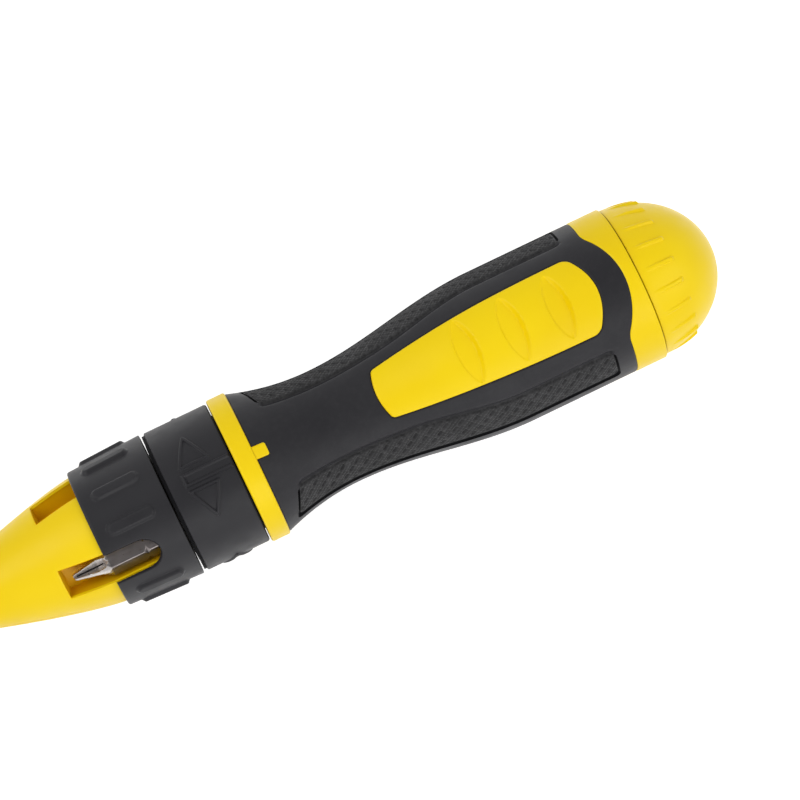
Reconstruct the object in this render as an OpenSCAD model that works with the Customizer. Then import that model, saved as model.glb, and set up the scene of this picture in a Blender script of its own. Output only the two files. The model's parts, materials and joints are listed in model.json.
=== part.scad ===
// Ratcheting screwdriver with a bit magazine in its nose, a direction ring and a two-shot handle.
// The tool lies along X: the bit points to -X, the end cap to +X, a panel of the handle faces +Z.
// The origin is the middle of the front face of the shank.
// An angle round the axis, or roll, is measured from +Z towards -Y.

/* [Bits] */
// Width of a bit across its flats
bit_af = 6.35; // [6.1:0.05:6.45]
// Length of a bit from end to end
bit_len = 25; // [24:0.25:26]
// Length of the worked tip of a bit
bit_tip_len = 8.5; // [7:0.25:9.5]
// Clearance between a bit and each face of its socket
bit_gap = 0.05; // [0.03:0.01:0.1]

/* [Spindle] */
// Diameter of the shank
shank_d = 10.5; // [10.4:0.1:11]
// Length of shank in front of the nose
shank_reach = 28; // [22:0.5:36]
// Depth of the hex socket in the shank
socket_depth = 9.8; // [8:0.2:12]
// Diameter of the magnet behind the bit
magnet_d = 5.4; // [4.6:0.1:5.8]
// Length of the magnet
magnet_len = 4; // [3:0.25:6]
// Width across the flats of the gear seat
seat_af = 8.5; // [8.3:0.05:8.6]
// Diameter of the journal behind the gear
journal_d = 7.8; // [7:0.1:8.2]
// Length of the journal
journal_len = 8; // [7:0.25:9]

/* [Nose] */
// Radius of the nose at its front end
nose_front_r = 8; // [7.4:0.1:9]
// Radius of the nose where it enters the collar
nose_r = 16.1; // [16:0.05:16.2]
// Length of the tapered part of the nose
nose_cone_len = 33.05; // [31.5:0.05:36]
// Radius of the circle on which the nose holds its bits
bit_circle_r = 12.3; // [12.2:0.05:12.35]
// Width of a bit slot
slot_w = 8; // [7.4:0.1:8.4]
// Angle from the middle of a nose shell to each of its slots
slot_angle = 43; // [41:0.5:46]
// Roll of the nose
nose_roll = -7.8; // [-12:0.1:-4]
// Distance of the nose screws from the front of the nose
nose_screw_at = 11; // [10:0.25:13]
// Diameter of the nose screws
nose_screw_d = 2.4; // [2:0.1:2.6]

/* [Front collar] */
// Length of the front collar
collar_len = 19.2; // [18.6:0.1:20.4]
// Height of the collar over the nose at its front edge
collar_front_rise = 1.2; // [1.1:0.05:1.6]
// Height of the collar over the nose at its rear edge
collar_rear_rise = 2; // [1.8:0.05:2.3]
// Number of places round the collar: one window, and a rib in each of the others
collar_places = 12; // [8:1:14]
// Length of a rib
collar_rib_len = 12; // [10:0.25:13]
// Width of a rib
collar_rib_w = 3; // [2.4:0.1:3.6]
// Height of a rib over the collar
collar_rib_h = 0.9; // [0.5:0.05:1.2]
// Width of the window
window_w = 8.3; // [7.8:0.1:8.8]
// Depth of the window from the front edge
window_len = 12.6; // [11:0.2:13.5]
// Gap between the collar and the selector ring
collar_gap = 0.45; // [0.4:0.05:1]

/* [Selector ring] */
// Length of the selector ring
selector_len = 17; // [16.6:0.1:18.5]
// Outer radius of the selector ring
selector_r = 17.9; // [17.8:0.05:18.3]
// Radius of the housing neck that the ring turns on
neck_r = 14.8; // [14.7:0.05:14.85]
// Turn of the ring from its middle place to each side, in degrees
selector_turn = 17.5; // [15:0.5:17.5]
// Width of the lug that carries a plunger
lug_w = 3.2; // [2.8:0.1:3.4]

/* [Ratchet] */
// Number of teeth on the ratchet gear
gear_teeth = 24; // [24:12:24]
// Tip radius of the gear
gear_tip_r = 8.4; // [8.35:0.01:8.45]
// Depth of a tooth
tooth_depth = 1.5; // [1.45:0.05:1.6]
// Face width of the gear
gear_face = 6.75; // [6:0.25:7.25]
// Distance of a pawl's pin from the axis
pawl_pin_r = 10.7; // [10.65:0.01:10.75]
// Diameter of a pawl's pin
pawl_pin_d = 2; // [1.8:0.05:2.1]
// Thickness of the housing cover
cover_t = 1.7; // [1.6:0.1:2.2]
// Length of the housing spigot inside the handle
spigot_len = 8; // [7:0.25:10]
// Radius of the housing spigot
spigot_r = 12.2; // [11.6:0.1:12.4]

/* [Handle] */
// Length of the handle from the front of its ring to the seam of the cap
handle_len = 103.8; // [103:0.2:108]
// Radius of the bright ring at the front
ring_r = 18.5; // [18.3:0.05:18.9]
// Length of the bright ring
ring_len = 4.8; // [4:0.1:5.5]
// Length of an index tab behind the ring
tab_len = 3.3; // [2.5:0.1:4.5]
// Width of an index tab
tab_w = 3.2; // [2.6:0.1:4]
// Radius of the grip behind the ring
grip_front_r = 18.1; // [17.9:0.05:18.2]
// Radius of the waist
waist_r = 14.55; // [14.4:0.05:15]
// Distance from the ring to the narrowest place of the waist
waist_at = 20; // [18:0.5:22]
// Radius of the belly
belly_r = 19.5; // [19.4:0.05:19.7]
// Length over which the waist swells into the belly
swell_len = 44.5; // [42:0.5:46]
// Length of bare core between the rubber and the seam
rear_band_len = 7.75; // [7:0.05:8.4]
// Thickness of the rubber
rubber_t = 2; // [1.6:0.1:2.2]

/* [Panels] */
// Distance from the front of the ring to the front of a panel
panel_at = 36.5; // [35:0.25:38]
// Distance from the rear of a panel to the seam of the cap
panel_end = 10.2; // [10:0.2:12]
// Half width of a panel at its front
panel_front_w = 6.2; // [5.6:0.1:6.8]
// Half width of a panel at its rear
panel_rear_w = 9.7; // [9.2:0.1:10]
// Bulge of the front edge of a panel
panel_front_bulge = 1.3; // [0.8:0.1:2]
// Bulge of the rear edge of a panel
panel_rear_bulge = 3.6; // [2.8:0.1:4.2]
// Number of dimples in a panel
dimple_count = 3; // [1:1:3]
// Distance from the middle of the last dimple to the rear of its panel
dimple_end = 9.9; // [9:0.1:11]
// Distance between dimples
dimple_pitch = 11.85; // [10:0.1:12]
// Length of a dimple along the handle
dimple_len = 5.5; // [4.5:0.25:6]
// Width of a dimple across the panel
dimple_w = 16; // [14:0.5:16.5]
// Depth of a dimple
dimple_depth = 0.7; // [0.4:0.05:0.9]
// Half width of the rubber arch behind a panel
arch_w = 13; // [12.4:0.1:13.4]
// Reach of the arch past the edge of the rubber
arch_len = 4.65; // [3:0.05:4.8]

/* [Textured bands] */
// Distance from the front of the ring to the front of a band
band_at = 9.8; // [9:0.2:11]
// Distance from the rear of a band to the seam of the cap
band_end = 12.8; // [12:0.2:14.8]
// Angle from the middle of a panel to the near edge of a band, at the front
band_front_angle = 41.5; // [40:0.25:43]
// Angle from the middle of a panel to the near edge of a band, at the rear
band_rear_angle = 48.7; // [47:0.25:50]
// Angle from the middle of a panel to the far edge of a band
band_far_angle = 80.5; // [79:0.25:82]
// Depth of a band below the grip's surface
band_depth = 0.4; // [0.2:0.05:0.6]

/* [End cap] */
// Length of the dome
dome_len = 21; // [20.5:0.1:24]
// Radius of the dome
dome_r = 18.9; // [18.7:0.05:19.4]
// Wall of the dome
dome_wall = 2.2; // [1.8:0.1:2.4]
// Number of ribs on the cap
cap_ribs = 20; // [12:1:24]
// Length of a rib
cap_rib_len = 8.4; // [6:0.2:9]
// Width of a rib
cap_rib_w = 0.9; // [0.8:0.1:1.8]
// Height of a rib over the dome at its rear end
cap_rib_h = 0.7; // [0.4:0.05:0.9]
// Radius of the threaded neck that carries the cap
cap_neck_r = 15.2; // [15:0.05:15.3]
// Length of the threaded neck
cap_neck_len = 8.6; // [7.5:0.1:8.8]
// Thickness of the cap's seal
seal_t = 1; // [0.8:0.1:1.4]

/* [Bit storage] */
// Radius of the storage bore
store_r = 13.6; // [13.5:0.05:13.7]
// Distance from the front of the ring to the rack
rack_at = 62; // [60:0.5:65]
// Length of the rack
rack_len = 15; // [13:0.5:17]
// Depth of a socket in the rack
rack_depth = 10; // [8:0.5:12]
// Radius of the circle on which the rack holds its bits
rack_circle_r = 8.8; // [8.6:0.05:8.9]
// Number of places in the rack
rack_places = 6; // [6:1:6]

/* [Clearances] */
// Gap between pieces that move past each other
run_gap = 0.3; // [0.25:0.01:0.32]
// Play along the axis of a turning piece
axial_gap = 0.1; // [0.08:0.01:0.12]
// Radial gap in a bearing
fit_gap = 0.05; // [0.03:0.01:0.08]
// Gap between pieces that are seated in each other
seat_gap = 0.02; // [0.01:0.01:0.03]

/* [Hidden] */

// Sides of a large round face
round_fn = 96;
// Sides of a small round face
small_fn = 32;
// Run of a cut past the face that it opens
over = 1;
// Bevel on the edges of the moulded pieces
bevel = 0.6;
// Bevel on the edges of the small pieces
fine_bevel = 0.3;

// Colours
yellow = [0.93, 0.80, 0.05];
black = [0.13, 0.13, 0.14];
steel = [0.62, 0.61, 0.60];
zinc = [0.45, 0.46, 0.48];
brass = [0.78, 0.62, 0.30];

// Bits and their socket
corner_scale = 1 / cos(30);
bit_corner_r = bit_af / 2 * corner_scale;
socket_af = bit_af + 2 * bit_gap;
bit_body_r = bit_af / 2 - 0.025 * bit_af;
cross_tip_r = 1.2;
cross_core_r = 0.75;
flat_small_t = 0.8;
flat_large_t = 1.2;
star_r = 1.95;
star_notch_r = 0.6;
hex_key_af = 4;
square_key_w = 3.3;
key_len = 5;
notch_at = 6.7;
notch_w = 0.9;
bit_clip_at = 4;
bit_clip_t = 0.7;
bit_clip_w = 0.6;
bit_clip_r = bit_corner_r + bit_gap + seat_gap;

// Stations from the nose to the selector ring
shank_r = shank_d / 2;
stem_step = 0.25;
stem_r = shank_r - stem_step;
journal_r = journal_d / 2;
magnet_r = magnet_d / 2;
nose_x0 = shank_reach;
collar_x0 = nose_x0 + nose_cone_len;
collar_front_r = nose_r + collar_front_rise;
collar_rear_r = nose_r + collar_rear_rise;
collar_x1 = collar_x0 + collar_len;
selector_x0 = collar_x1 + collar_gap;
selector_x1 = selector_x0 + selector_len;

// Retention of the collar: a flange in the collar, held by a circlip on the spigot of the nose
circlip_t = 0.6;
circlip_w = 1.8;
circlip_groove = 0.6;
flange_t = 0.9;
nose_spigot_r = nose_r - 2.9;
flange_x1 = collar_x1 - circlip_t - 2 * axial_gap;
flange_x0 = flange_x1 - flange_t;
circlip_x0 = flange_x1 + axial_gap;
circlip_r = nose_spigot_r - circlip_groove + seat_gap;
spigot_lip = 0.15;
nose_x1 = circlip_x0 + circlip_t + spigot_lip;
barrel_x1 = flange_x0 - axial_gap;
collar_bore_r = nose_r + run_gap;

// Bit slots of the nose
slot_wall = 0.9;
slot_lead = 3.45;
slot_slope = 1.5;
slot_x1 = barrel_x1 - slot_wall;
nose_bit_x = slot_x1 - axial_gap;
slot_x0 = nose_bit_x - bit_len - slot_lead;
slot_floor_r = bit_circle_r - bit_corner_r - seat_gap;
window_roll = nose_roll + slot_angle;
slot_rolls = [nose_roll + slot_angle, nose_roll - slot_angle,
    nose_roll + 180 + slot_angle, nose_roll + 180 - slot_angle];

// Flats on the spindle inside the nose, and the screws of the nose
flat_depth = 0.5;
flat_x0 = nose_x0 + nose_cone_len + bevel;
flat_len = 8;
nose_screw_y = shank_r + nose_screw_d + bevel / 4;
nose_screw_head_r = nose_screw_d * 0.85;
nose_screw_head_t = nose_screw_d * 0.6;
nose_screw_seat = nose_screw_d * 1.4;
nose_screw_bite = nose_screw_d * 1.7;

// Leaf springs that click into dents
leaf_len = 5.2;
leaf_w = 3;
leaf_t = 0.3;
leaf_pocket = 1.4;
leaf_proud = 0.1;
leaf_rise = leaf_pocket + leaf_proud - leaf_t - seat_gap;
leaf_bump_r = 1;
dent_r = 1.6;
click_depth = 0.4;
collar_leaf_x = (collar_x0 + collar_x1) / 2;

// Front half of the ratchet housing, from the cover to the chamber's rear wall
washer_t = 0.6;
gear_clip_t = 0.7;
cover_x0 = collar_x1 + run_gap;
cover_x1 = cover_x0 + cover_t;
front_washer_x = cover_x1 + axial_gap;
gear_x0 = front_washer_x + washer_t + axial_gap;
gear_x1 = gear_x0 + gear_face;
gear_clip_x = gear_x1 + seat_gap;
rear_washer_x = gear_clip_x + gear_clip_t + axial_gap;
chamber_x1 = rear_washer_x + washer_t + axial_gap;
chamber_r = gear_tip_r + run_gap + fit_gap;
tooth_land = 0.3;
gear_root_r = gear_tip_r - tooth_depth;
front_washer_r = gear_root_r - run_gap;
rear_washer_r = chamber_r - run_gap;
gear_clip_w = 2.6;
gear_clip_groove = 0.6;
gear_clip_r = journal_r - gear_clip_groove + seat_gap;

// Bushes
bush_wall = 1.6;
front_bush_r = stem_r + fit_gap + bush_wall;
rear_bush_r = journal_r + fit_gap + bush_wall;
rear_bush_len = 5;

// Pawls, their pins and the windows that they lie in
pawl_pin_rad = pawl_pin_d / 2;
pawl_back = 1.95;
pawl_under = 1.15;
pawl_arm = 4.3;
pawl_nose_angle = 540 / gear_teeth;
pawl_nose_r = gear_tip_r - tooth_depth / 3;
pawl_nose_bias = 0.155;
pawl_nose_w = 0.12;
pawl_nose_len = 2.6;
pawl_nose_flank = 20;
pin_seat = 1;
pawl_window_x1 = gear_x1 + run_gap;
selector_bore_r = neck_r + run_gap;
pawl_window_w = 2 * (selector_bore_r * sin(selector_turn) + lug_w / 2 * cos(selector_turn) + run_gap);

// Plungers in the lugs of the selector ring
ball_r = 1;
ball_at = pawl_pin_r + pawl_back + ball_r + fit_gap;
lug_in_r = ball_at - ball_r / 2;
lug_x0 = cover_x1 + axial_gap;
lug_x1 = pawl_window_x1 - axial_gap;
plunger_x = (lug_x0 + lug_x1) / 2;
plunger_wall = 0.85;
plunger_r1 = selector_r - plunger_wall;
spring_wire_r = 0.17;
spring_turns = 4;
spring_steps = 10;
spring_sides = 6;
selector_leaf_x = chamber_x1 + leaf_len / 2 + bevel / 2;
selector_leaf_roll = 90;

// Cover screws
cover_screw_r = 1;
cover_screw_head_r = 1.9;
cover_screw_len = 9;
cover_screw_at = (neck_r + chamber_r) / 2;

// Stations of the handle
ring_x0 = selector_x1 + run_gap;
ring_x1 = ring_x0 + ring_len;
seam_x = ring_x0 + handle_len;
rubber_x1 = seam_x - rear_band_len;
waist_x = ring_x1 + waist_at;
spigot_x1 = ring_x0 + spigot_len;
spigot_keys = 4;
key_w = 2.4;
key_h = 1.1;
spigot_groove_w = 1.6;
spigot_groove_h = 0.8;
tab_count = 3;

// Bore of the handle
web_t = 4;
access_r = 6.5;
store_cone_len = 12;
store_step = 1.5;
store_x0 = ring_x0 + rack_at;
neck_x1 = seam_x + cap_neck_len;

// Outlines of the panels and the bands
panel_x0 = ring_x0 + panel_at;
panel_len = seam_x - panel_end - panel_x0;
dimple_at = panel_len - dimple_end - dimple_pitch * (dimple_count - 1);
panel_steps = 6;
panel_flare = 2.3;
panel_corner = 1.6;
band_x0 = ring_x0 + band_at;
band_len = seam_x - band_end - band_x0;
band_mid_angle = (band_rear_angle + band_far_angle) / 2;
band_steps = 8;
band_corner = 1.2;
band_turn_share = [0.38, 0.72];

// End cap
seam_gap = 0.25;
cap_x0 = seam_x + seam_gap;
cap_bore_r = cap_neck_r + run_gap;
cap_bore_len = cap_neck_len + bevel;
cap_rib_at = 0.7;
cap_rib_roll = 3.5;
cap_rib_sink = 0.2;
seal_w = 1;
seal_x0 = seam_x + axial_gap;
dome_steps = 12;

// Rack
rack_x1 = store_x0 + rack_len;
rack_bit_x = rack_x1 - rack_depth + axial_gap;

// Solid of revolution about X, from points [x, radius]
module turned(points) {
    rotate([0, 90, 0])
        rotate_extrude($fn = round_fn)
            polygon([for (p = points) [p[1], p[0]]]);
}

// Round bar about X between two stations
module rod(x0, x1, r, fn = round_fn) {
    translate([x0, 0, 0])
        rotate([0, 90, 0])
            cylinder(r = r, h = x1 - x0, $fn = fn);
}

// Plain ring about X between two stations
module ring(x0, x1, r_out, r_in) {
    difference() {
        rod(x0, x1, r_out);
        rod(x0 - over, x1 + over, r_in);
    }
}

// Prism along X between two stations, from an outline in Y and Z
module along(x0, x1) {
    translate([x0, 0, 0])
        rotate([90, 0, 90])
            linear_extrude(x1 - x0)
                children();
}

// Prism across Y, from an outline in X and Z
module across(w) {
    rotate([90, 0, 0])
        linear_extrude(w, center = true)
            children();
}

// Turns its children about X, so that what was on +Z lies at this roll
module at(roll) {
    rotate([roll, 0, 0])
        children();
}

// Hexagon with a corner on its second axis
module hexagon(af) {
    rotate(90)
        circle(r = af / 2 * corner_scale, $fn = 6);
}

// Flat bar with round ends that starts on the second axis
module stadium(len, w) {
    translate([w / 2, 0])
        circle(r = w / 2, $fn = small_fn);
    translate([len - w / 2, 0])
        circle(r = w / 2, $fn = small_fn);
    translate([w / 2, -w / 2])
        square([len - w, w]);
}

// Bits: the rear face is at zero and the tip points to -X

// Hex body with bevelled rear corners and a ring of notches in its corners
module bit_body() {
    intersection() {
        along(-bit_len + bit_tip_len, 0)
            hexagon(bit_af);
        turned([[-bit_len, 0], [-bit_len, bit_body_r], [-bit_len + bit_tip_len, bit_body_r],
            [-bit_len + bit_tip_len + bevel, bit_corner_r],
            [-notch_at - notch_w, bit_corner_r], [-notch_at, bit_af / 2],
            [-notch_at + notch_w, bit_corner_r],
            [-bevel, bit_corner_r], [0, bit_body_r], [0, 0]]);
    }
}

// Cross tip: a cone with four flutes that run out at the hex body
module cross_tip() {
    cone_len = (bit_body_r - cross_tip_r) * 2;
    flute_slope = atan((bit_body_r - cross_core_r) / (bit_tip_len - 2 * bevel));
    difference() {
        turned([[-bit_len, 0], [-bit_len, cross_tip_r], [-bit_len + cone_len, bit_body_r],
            [-bit_len + bit_tip_len + fine_bevel, bit_body_r], [-bit_len + bit_tip_len + fine_bevel, 0]]);
        for (i = [0 : 3])
            at(45 + 90 * i)
                translate([-bit_len, 0, cross_core_r])
                    rotate([45, -flute_slope, 0])
                        translate([-over, 0, 0])
                            cube([bit_tip_len + 2 * over, bit_af, bit_af]);
    }
}

// Flat tip: a round neck that tapers to a blade
module flat_tip(blade_t) {
    intersection() {
        turned([[-bit_len, 0], [-bit_len, bit_body_r - bevel], [-bit_len + bevel, bit_body_r],
            [-bit_len + bit_tip_len + fine_bevel, bit_body_r], [-bit_len + bit_tip_len + fine_bevel, 0]]);
        across(bit_af)
            polygon([[-bit_len - over, -blade_t / 2], [-bit_len + bit_tip_len / 4, -blade_t / 2],
                [-bit_len + bit_tip_len, -bit_body_r], [-bit_len + bit_tip_len + over, -bit_body_r],
                [-bit_len + bit_tip_len + over, bit_body_r], [-bit_len + bit_tip_len, bit_body_r],
                [-bit_len + bit_tip_len / 4, blade_t / 2], [-bit_len - over, blade_t / 2]]);
    }
}

// Tip with the outline of its children, on a tapered neck
module key_tip(key_r) {
    along(-bit_len, -bit_len + key_len + over)
        children();
    turned([[-bit_len + key_len, 0], [-bit_len + key_len, key_r], [-bit_len + bit_tip_len, bit_body_r],
        [-bit_len + bit_tip_len + fine_bevel, bit_body_r], [-bit_len + bit_tip_len + fine_bevel, 0]]);
}

// Six-lobed star
module star() {
    difference() {
        circle(r = star_r, $fn = small_fn);
        for (i = [0 : 5])
            rotate(60 * i)
                translate([star_r + star_notch_r / 4, 0])
                    circle(r = star_notch_r, $fn = small_fn);
    }
}

module cross_bit() {
    bit_body();
    cross_tip();
}

module flat_bit(blade_t) {
    bit_body();
    flat_tip(blade_t);
}

module star_bit() {
    bit_body();
    key_tip(star_r)
        star();
}

module hex_bit() {
    bit_body();
    key_tip(hex_key_af / 2)
        hexagon(hex_key_af);
}

module square_bit() {
    bit_body();
    key_tip(square_key_w / 2)
        square(square_key_w, center = true);
}

// Places a bit in one slot of the nose
module in_nose(slot) {
    at(slot_rolls[slot])
        translate([nose_bit_x, 0, bit_circle_r])
            children();
}

// Places a bit in one socket of the rack, with its tip to the rear
module in_rack(place) {
    at(360 / rack_places * place)
        translate([rack_bit_x, 0, rack_circle_r])
            rotate([0, 0, 180])
                children();
}

// Handle

// Radius of the grip at a station
function swell(t) = (1 - cos(180 * t)) / 2;
function handle_r(x) =
    x < waist_x ? waist_r + (grip_front_r - waist_r) * pow((waist_x - x) / waist_at, 2)
    : x < waist_x + swell_len ? waist_r + (belly_r - waist_r) * swell((x - waist_x) / swell_len)
    : belly_r;

// Stations of the grip's outline, and the outline moved in by a depth
flare_steps = 6;
swell_steps = 12;
grip_stations = concat([for (i = [0 : flare_steps - 1]) ring_x1 + waist_at * i / flare_steps],
    [for (i = [0 : swell_steps]) waist_x + swell_len * i / swell_steps], [rubber_x1]);
function grip_line(depth) = [for (x = grip_stations) [x, handle_r(x) - depth]];
function backwards(list) = [for (i = [len(list) - 1 : -1 : 0]) list[i]];

// Outline of a panel, seen from above
function panel_half_w(t) = panel_front_w + (panel_rear_w - panel_front_w) * (1 - pow(1 - t, panel_flare));
module panel_outline(grow) {
    side_x0 = panel_x0 + panel_front_bulge;
    side_len = panel_len - panel_front_bulge - panel_rear_bulge;
    side = [for (i = [0 : panel_steps])
        [side_x0 + side_len * i / panel_steps, panel_half_w(i / panel_steps)]];
    ends = [for (i = [-2 : 2]) i / 3];
    rear = [for (t = backwards(ends))
        [side_x0 + side_len + panel_rear_bulge * (1 - t * t), panel_rear_w * t]];
    front = [for (t = ends)
        [side_x0 - panel_front_bulge * (1 - t * t), panel_front_w * t]];
    offset(delta = grow)
        offset(r = panel_corner, $fn = small_fn)
            offset(delta = -panel_corner)
                polygon(concat(side, rear, backwards([for (p = side) [p[0], -p[1]]]), front));
}

// Both panels as prisms along Z
module panel_prisms(grow) {
    translate([0, 0, -2 * belly_r])
        linear_extrude(4 * belly_r)
            panel_outline(grow);
}

// Dimples: each is a piece of a torus that runs out before the edge of its panel
module panel_dimples() {
    tube_r = (pow(dimple_len / 2, 2) + pow(dimple_depth, 2)) / (2 * dimple_depth);
    half_w = dimple_w / 2;
    for (turn = [0, 180], i = [0 : dimple_count - 1]) {
        x = panel_x0 + dimple_at + dimple_pitch * i;
        r = handle_r(x);
        fall = r - dimple_depth - sqrt(pow(r, 2) - pow(half_w, 2));
        sweep_r = (pow(half_w, 2) + pow(fall, 2)) / (2 * fall);
        at(turn)
            translate([x, 0, r - dimple_depth - sweep_r])
                rotate([0, 90, 0])
                    rotate_extrude($fn = 2 * round_fn)
                        translate([sweep_r + tube_r, 0])
                            circle(r = tube_r, $fn = 2 * round_fn);
    }
}

// Rubber arches behind the panels, as prisms along Z
module arch_prisms(grow) {
    arch_r = (pow(arch_w, 2) + pow(arch_len, 2)) / (2 * arch_len);
    translate([0, 0, -2 * belly_r])
        linear_extrude(4 * belly_r)
            intersection() {
                translate([rubber_x1 + arch_len - arch_r, 0])
                    circle(r = arch_r + grow, $fn = 2 * round_fn);
                translate([rubber_x1 - over, -2 * arch_w])
                    square([arch_len + 2 * over, 4 * arch_w]);
            }
}

// Index tabs behind the bright ring
module tab_prisms(grow) {
    for (i = [0 : tab_count - 1])
        at(360 / tab_count * i)
            translate([ring_x1 - over, -tab_w / 2 - grow, 0])
                cube([tab_len + over + grow, tab_w + 2 * grow, 2 * ring_r]);
}

// One textured band as a prism, with its middle on +Z
module band_prism() {
    blend_x = [for (s = band_turn_share) band_x0 + band_len * s];
    function near_angle(x) = band_front_angle + (band_rear_angle - band_front_angle)
        * swell(min(1, max(0, (x - blend_x[0]) / (blend_x[1] - blend_x[0]))));
    function edge(x, angle) = -handle_r(x) * sin(angle - band_mid_angle);
    xs = [for (i = [0 : band_steps]) band_x0 + band_len * i / band_steps];
    linear_extrude(2 * belly_r)
        offset(r = band_corner, $fn = small_fn)
            offset(delta = -band_corner)
                polygon(concat([for (x = xs) [x, edge(x, near_angle(x))]],
                    backwards([for (x = xs) [x, edge(x, band_far_angle)]])));
}

module handle_core() {
    under = rubber_t + seat_gap;
    color(yellow)
        difference() {
            union() {
                turned(concat([[ring_x0, 0], [ring_x0, ring_r - fine_bevel],
                    [ring_x0 + fine_bevel, ring_r], [ring_x1 - fine_bevel, ring_r],
                    [ring_x1, ring_r - fine_bevel]],
                    grip_line(under),
                    [[rubber_x1, belly_r], [seam_x - fine_bevel, belly_r],
                    [seam_x, belly_r - fine_bevel], [seam_x, cap_neck_r],
                    [neck_x1 - fine_bevel, cap_neck_r], [neck_x1, cap_neck_r - fine_bevel],
                    [neck_x1, 0]]));
                intersection() {
                    turned(concat([[ring_x1 - over, 0], [ring_x1 - over, grip_front_r]],
                        grip_line(0), [[rubber_x1, 0]]));
                    union() {
                        difference() {
                            panel_prisms(-seat_gap);
                            panel_dimples();
                        }
                        tab_prisms(0);
                    }
                }
            }
            intersection() {
                arch_prisms(seat_gap);
                ring(rubber_x1 - over, seam_x, belly_r + over, belly_r - under);
            }
            rod(ring_x0 - over, spigot_x1 + axial_gap, spigot_r + seat_gap);
            for (i = [0 : spigot_keys - 1])
                at(360 / spigot_keys * (i + 0.5))
                    translate([ring_x0 - over, -key_w / 2 - seat_gap, 0])
                        cube([spigot_len + over + axial_gap, key_w + 2 * seat_gap,
                            spigot_r + key_h + seat_gap]);
            rod(spigot_x1 + web_t, neck_x1 + over, access_r);
            turned([[store_x0 - store_cone_len, 0], [store_x0 - store_cone_len, access_r],
                [store_x0, store_r - store_step], [store_x0 + over, store_r - store_step],
                [store_x0 + over, 0]]);
            rod(store_x0, neck_x1 + over, store_r);
        }
}

module handle_grip() {
    color(black)
        difference() {
            union() {
                turned(concat(grip_line(0), backwards(grip_line(rubber_t))));
                intersection() {
                    arch_prisms(0);
                    ring(rubber_x1 - bevel, seam_x, belly_r, belly_r - rubber_t);
                }
            }
            panel_prisms(0);
            tab_prisms(seat_gap);
            intersection() {
                for (flip = [0, 1], turn = [0, 180])
                    mirror([0, flip, 0])
                        at(turn + band_mid_angle)
                            band_prism();
                difference() {
                    rod(band_x0 - over, band_x0 + band_len + over, belly_r + over);
                    turned(concat([[ring_x1, 0]], grip_line(band_depth), [[rubber_x1, 0]]));
                }
            }
        }
}

// Ratchet

// Bow of spring steel in a pocket, with a round bump on its back, at a station and a floor radius
module leaf(x, floor_r) {
    bow_r = (pow(leaf_len / 2, 2) + pow(leaf_rise, 2)) / (2 * leaf_rise);
    bump_top = leaf_pocket + run_gap + click_depth - axial_gap;
    translate([x, 0, floor_r])
        intersection() {
            translate([0, 0, bump_top - leaf_bump_r])
                sphere(r = leaf_bump_r, $fn = small_fn);
            translate([-leaf_bump_r, -leaf_bump_r, leaf_pocket + leaf_proud - leaf_t / 2])
                cube(2 * leaf_bump_r);
        }
    translate([x, 0, floor_r + seat_gap])
        across(leaf_w)
            intersection() {
                translate([0, leaf_rise - bow_r])
                    difference() {
                        circle(r = bow_r + leaf_t, $fn = round_fn);
                        circle(r = bow_r, $fn = round_fn);
                    }
                translate([-leaf_len, 0])
                    square([2 * leaf_len, leaf_len]);
            }
}

// Pocket for a leaf, cut down from a surface radius
module leaf_pocket_cut(x, surface_r) {
    pocket_len = leaf_len + 2 * leaf_t + 2 * axial_gap;
    translate([x - pocket_len / 2, -leaf_w / 2 - axial_gap, surface_r - leaf_pocket])
        cube([pocket_len, leaf_w + 2 * axial_gap, leaf_pocket + over]);
}

// Round dent in the wall of a bore, where a leaf clicks in
module click_dent(x, bore_r) {
    translate([x, 0, bore_r + click_depth - dent_r])
        sphere(r = dent_r, $fn = small_fn);
}

module ratchet_housing() {
    color(zinc)
        difference() {
            union() {
                turned([[cover_x1 + seat_gap, 0], [cover_x1 + seat_gap, neck_r],
                    [ring_x0 - seat_gap, neck_r], [ring_x0 - seat_gap, spigot_r],
                    [ring_x0 + spigot_len / 2 - spigot_groove_w / 2, spigot_r],
                    [ring_x0 + spigot_len / 2 - spigot_groove_w / 2, spigot_r - spigot_groove_h],
                    [ring_x0 + spigot_len / 2 + spigot_groove_w / 2, spigot_r - spigot_groove_h],
                    [ring_x0 + spigot_len / 2 + spigot_groove_w / 2, spigot_r],
                    [spigot_x1 - bevel, spigot_r], [spigot_x1, spigot_r - bevel], [spigot_x1, 0]]);
                for (i = [0 : spigot_keys - 1])
                    at(360 / spigot_keys * (i + 0.5))
                        translate([ring_x0 - over, -key_w / 2, spigot_r - 2 * key_h])
                            cube([spigot_len + over, key_w, 3 * key_h]);
            }
            rod(cover_x1 - over, chamber_x1, chamber_r);
            rod(chamber_x1 - over, chamber_x1 + journal_len, rear_bush_r);
            for (turn = [0, 180])
                at(turn) {
                    translate([cover_x1 - over, -pawl_window_w / 2, 0])
                        cube([pawl_window_x1 - cover_x1 + over, pawl_window_w, 2 * neck_r]);
                    translate([0, 0, pawl_pin_r])
                        rod(pawl_window_x1 - over, pawl_window_x1 + 2 * pin_seat, pawl_pin_rad + seat_gap,
                            small_fn);
                }
            for (side = [-1, 1])
                translate([0, side * cover_screw_at, 0])
                    rod(cover_x1 - over, cover_x0 + cover_screw_len + axial_gap,
                        cover_screw_r + seat_gap, small_fn);
            at(selector_leaf_roll)
                leaf_pocket_cut(selector_leaf_x, neck_r);
        }
}

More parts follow.
